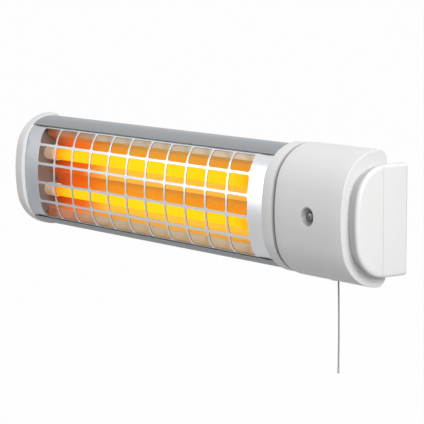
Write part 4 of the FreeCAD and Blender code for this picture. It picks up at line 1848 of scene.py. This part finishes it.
@dataclass
class Studio:
    """Camera, lamps, floor and sky."""

    eye: Place = (1.436075, -1.08693, 0.21189)
    right: Place = (0.6046, 0.79653, -0.00023)
    up: Place = (-0.10223, 0.07789, 0.99171)
    lens_mm: float = 170.42
    sensor_mm: float = 36.0
    nearest: float = 0.05
    floor_z: float = -0.45
    floor_half: float = 40.0
    floor_white: float = 0.985
    floor_mirrored: float = 0.58
    fibre: Lumps = Lumps(4.0)
    paper_dark: Colour = (0.42, 0.42, 0.42)
    paper_pale: Colour = (0.46, 0.46, 0.46)
    ambient: float = 0.28
    lamps: tuple[Lamp, ...] = (
        Lamp("right_softbox", (2.05, -0.7, 0.76), (0.2, -0.03, 0.0), 0.9, 32.0),
        Lamp("top_softbox", (0.3, -0.1, 2.2), (0.1, -0.03, 0.0), 1.0, 17.0),
        Lamp("gleam_panel", (-0.75, -1.1, 0.2), (0.14, -0.05, 0.0), 0.55, 3.0))

    def build(self) -> None:
        """Set the whole studio."""
        bpy.context.scene.view_settings.view_transform = "Standard"
        self.camera()
        self.sky()
        self.floor()
        for lamp in self.lamps:
            lamp.build()

    def camera(self) -> None:
        """Set the camera at the photograph's place."""
        data = bpy.data.cameras.new("camera")
        data.sensor_width = self.sensor_mm
        data.lens = self.lens_mm
        data.clip_start = self.nearest
        camera = put("camera", data)
        right = Vector(self.right).normalized()
        back = right.cross(Vector(self.up)).normalized()
        turn = Matrix((right, back.cross(right), back)).transposed().to_4x4()
        camera.matrix_world = Matrix.Translation(Vector(self.eye)) @ turn
        bpy.context.scene.camera = camera

    @staticmethod
    def seen(bench: Bench, mirrored_share: float) -> Signal:
        """Tell the rays that look from the rays that light.

        Args:
            bench: the bench of the floor or the sky.
            mirrored_share: what a look in a mirror counts.

        Returns:
            One for a straight look or a look through glass, the share in mirrors and nought for light.
        """
        path = bench.add("ShaderNodeLightPath").outputs
        straight, through, mirror = (Signal(bench, path[name]) for name in (
            "Is Camera Ray", "Is Transmission Ray", "Is Glossy Ray"))
        return straight.highest(through).highest(mirrored_share * mirror)

    def floor(self) -> None:
        """Lay a pale floor that keeps a faint shadow."""
        half, low = self.floor_half, self.floor_z
        corners = [(-half, -half, low), (half, -half, low), (half, half, low), (-half, half, low)]
        mesh = bpy.data.meshes.new("floor")
        mesh.from_pydata(corners, [], [(0, 1, 2, 3)])
        bench = MaterialBench("floor_paper")
        paper = bench.add("ShaderNodeBsdfDiffuse", {}, {
            "Color": bench.blend(bench.noise(self.fibre), self.paper_dark, self.paper_pale)})
        white = bench.add("ShaderNodeEmission", {}, {"Color": WHITE, "Strength": 1.0})
        share = self.floor_white * self.seen(bench, self.floor_mirrored)
        sockets = {0: share, 1: paper.outputs[0], 2: white.outputs[0]}
        bench.close(bench.add("ShaderNodeMixShader", {}, sockets))
        mesh.materials.append(bench.material)
        put("floor", mesh)

    def sky(self) -> None:
        """Light evenly all round, white where the sky is seen."""
        world = bpy.data.worlds.new("studio")
        bpy.context.scene.world = world
        world.use_nodes = True
        bench = Bench(world.node_tree)
        strength = self.ambient + (1.0 - self.ambient) * self.seen(bench, 1.0)
        sky = bench.add("ShaderNodeBackground", {}, {"Color": WHITE, "Strength": strength})
        bench.add("ShaderNodeOutputWorld", {}, {0: sky.outputs[0]})


def clear_scene() -> None:
    """Empty the start-up scene."""
    for item in list(bpy.data.objects):
        bpy.data.objects.remove(item)


def main() -> None:
    """Build and dress the sub-assemblies in order."""
    logging.basicConfig(level=logging.INFO, format="%(message)s")
    clear_scene()
    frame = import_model()
    Studio().build()
    for kind in (PullCord, HeatSection, ControlBox, WallBracket):
        part = kind(frame)
        part.build()
        part.dress()


if __name__ == "__main__":
    main()
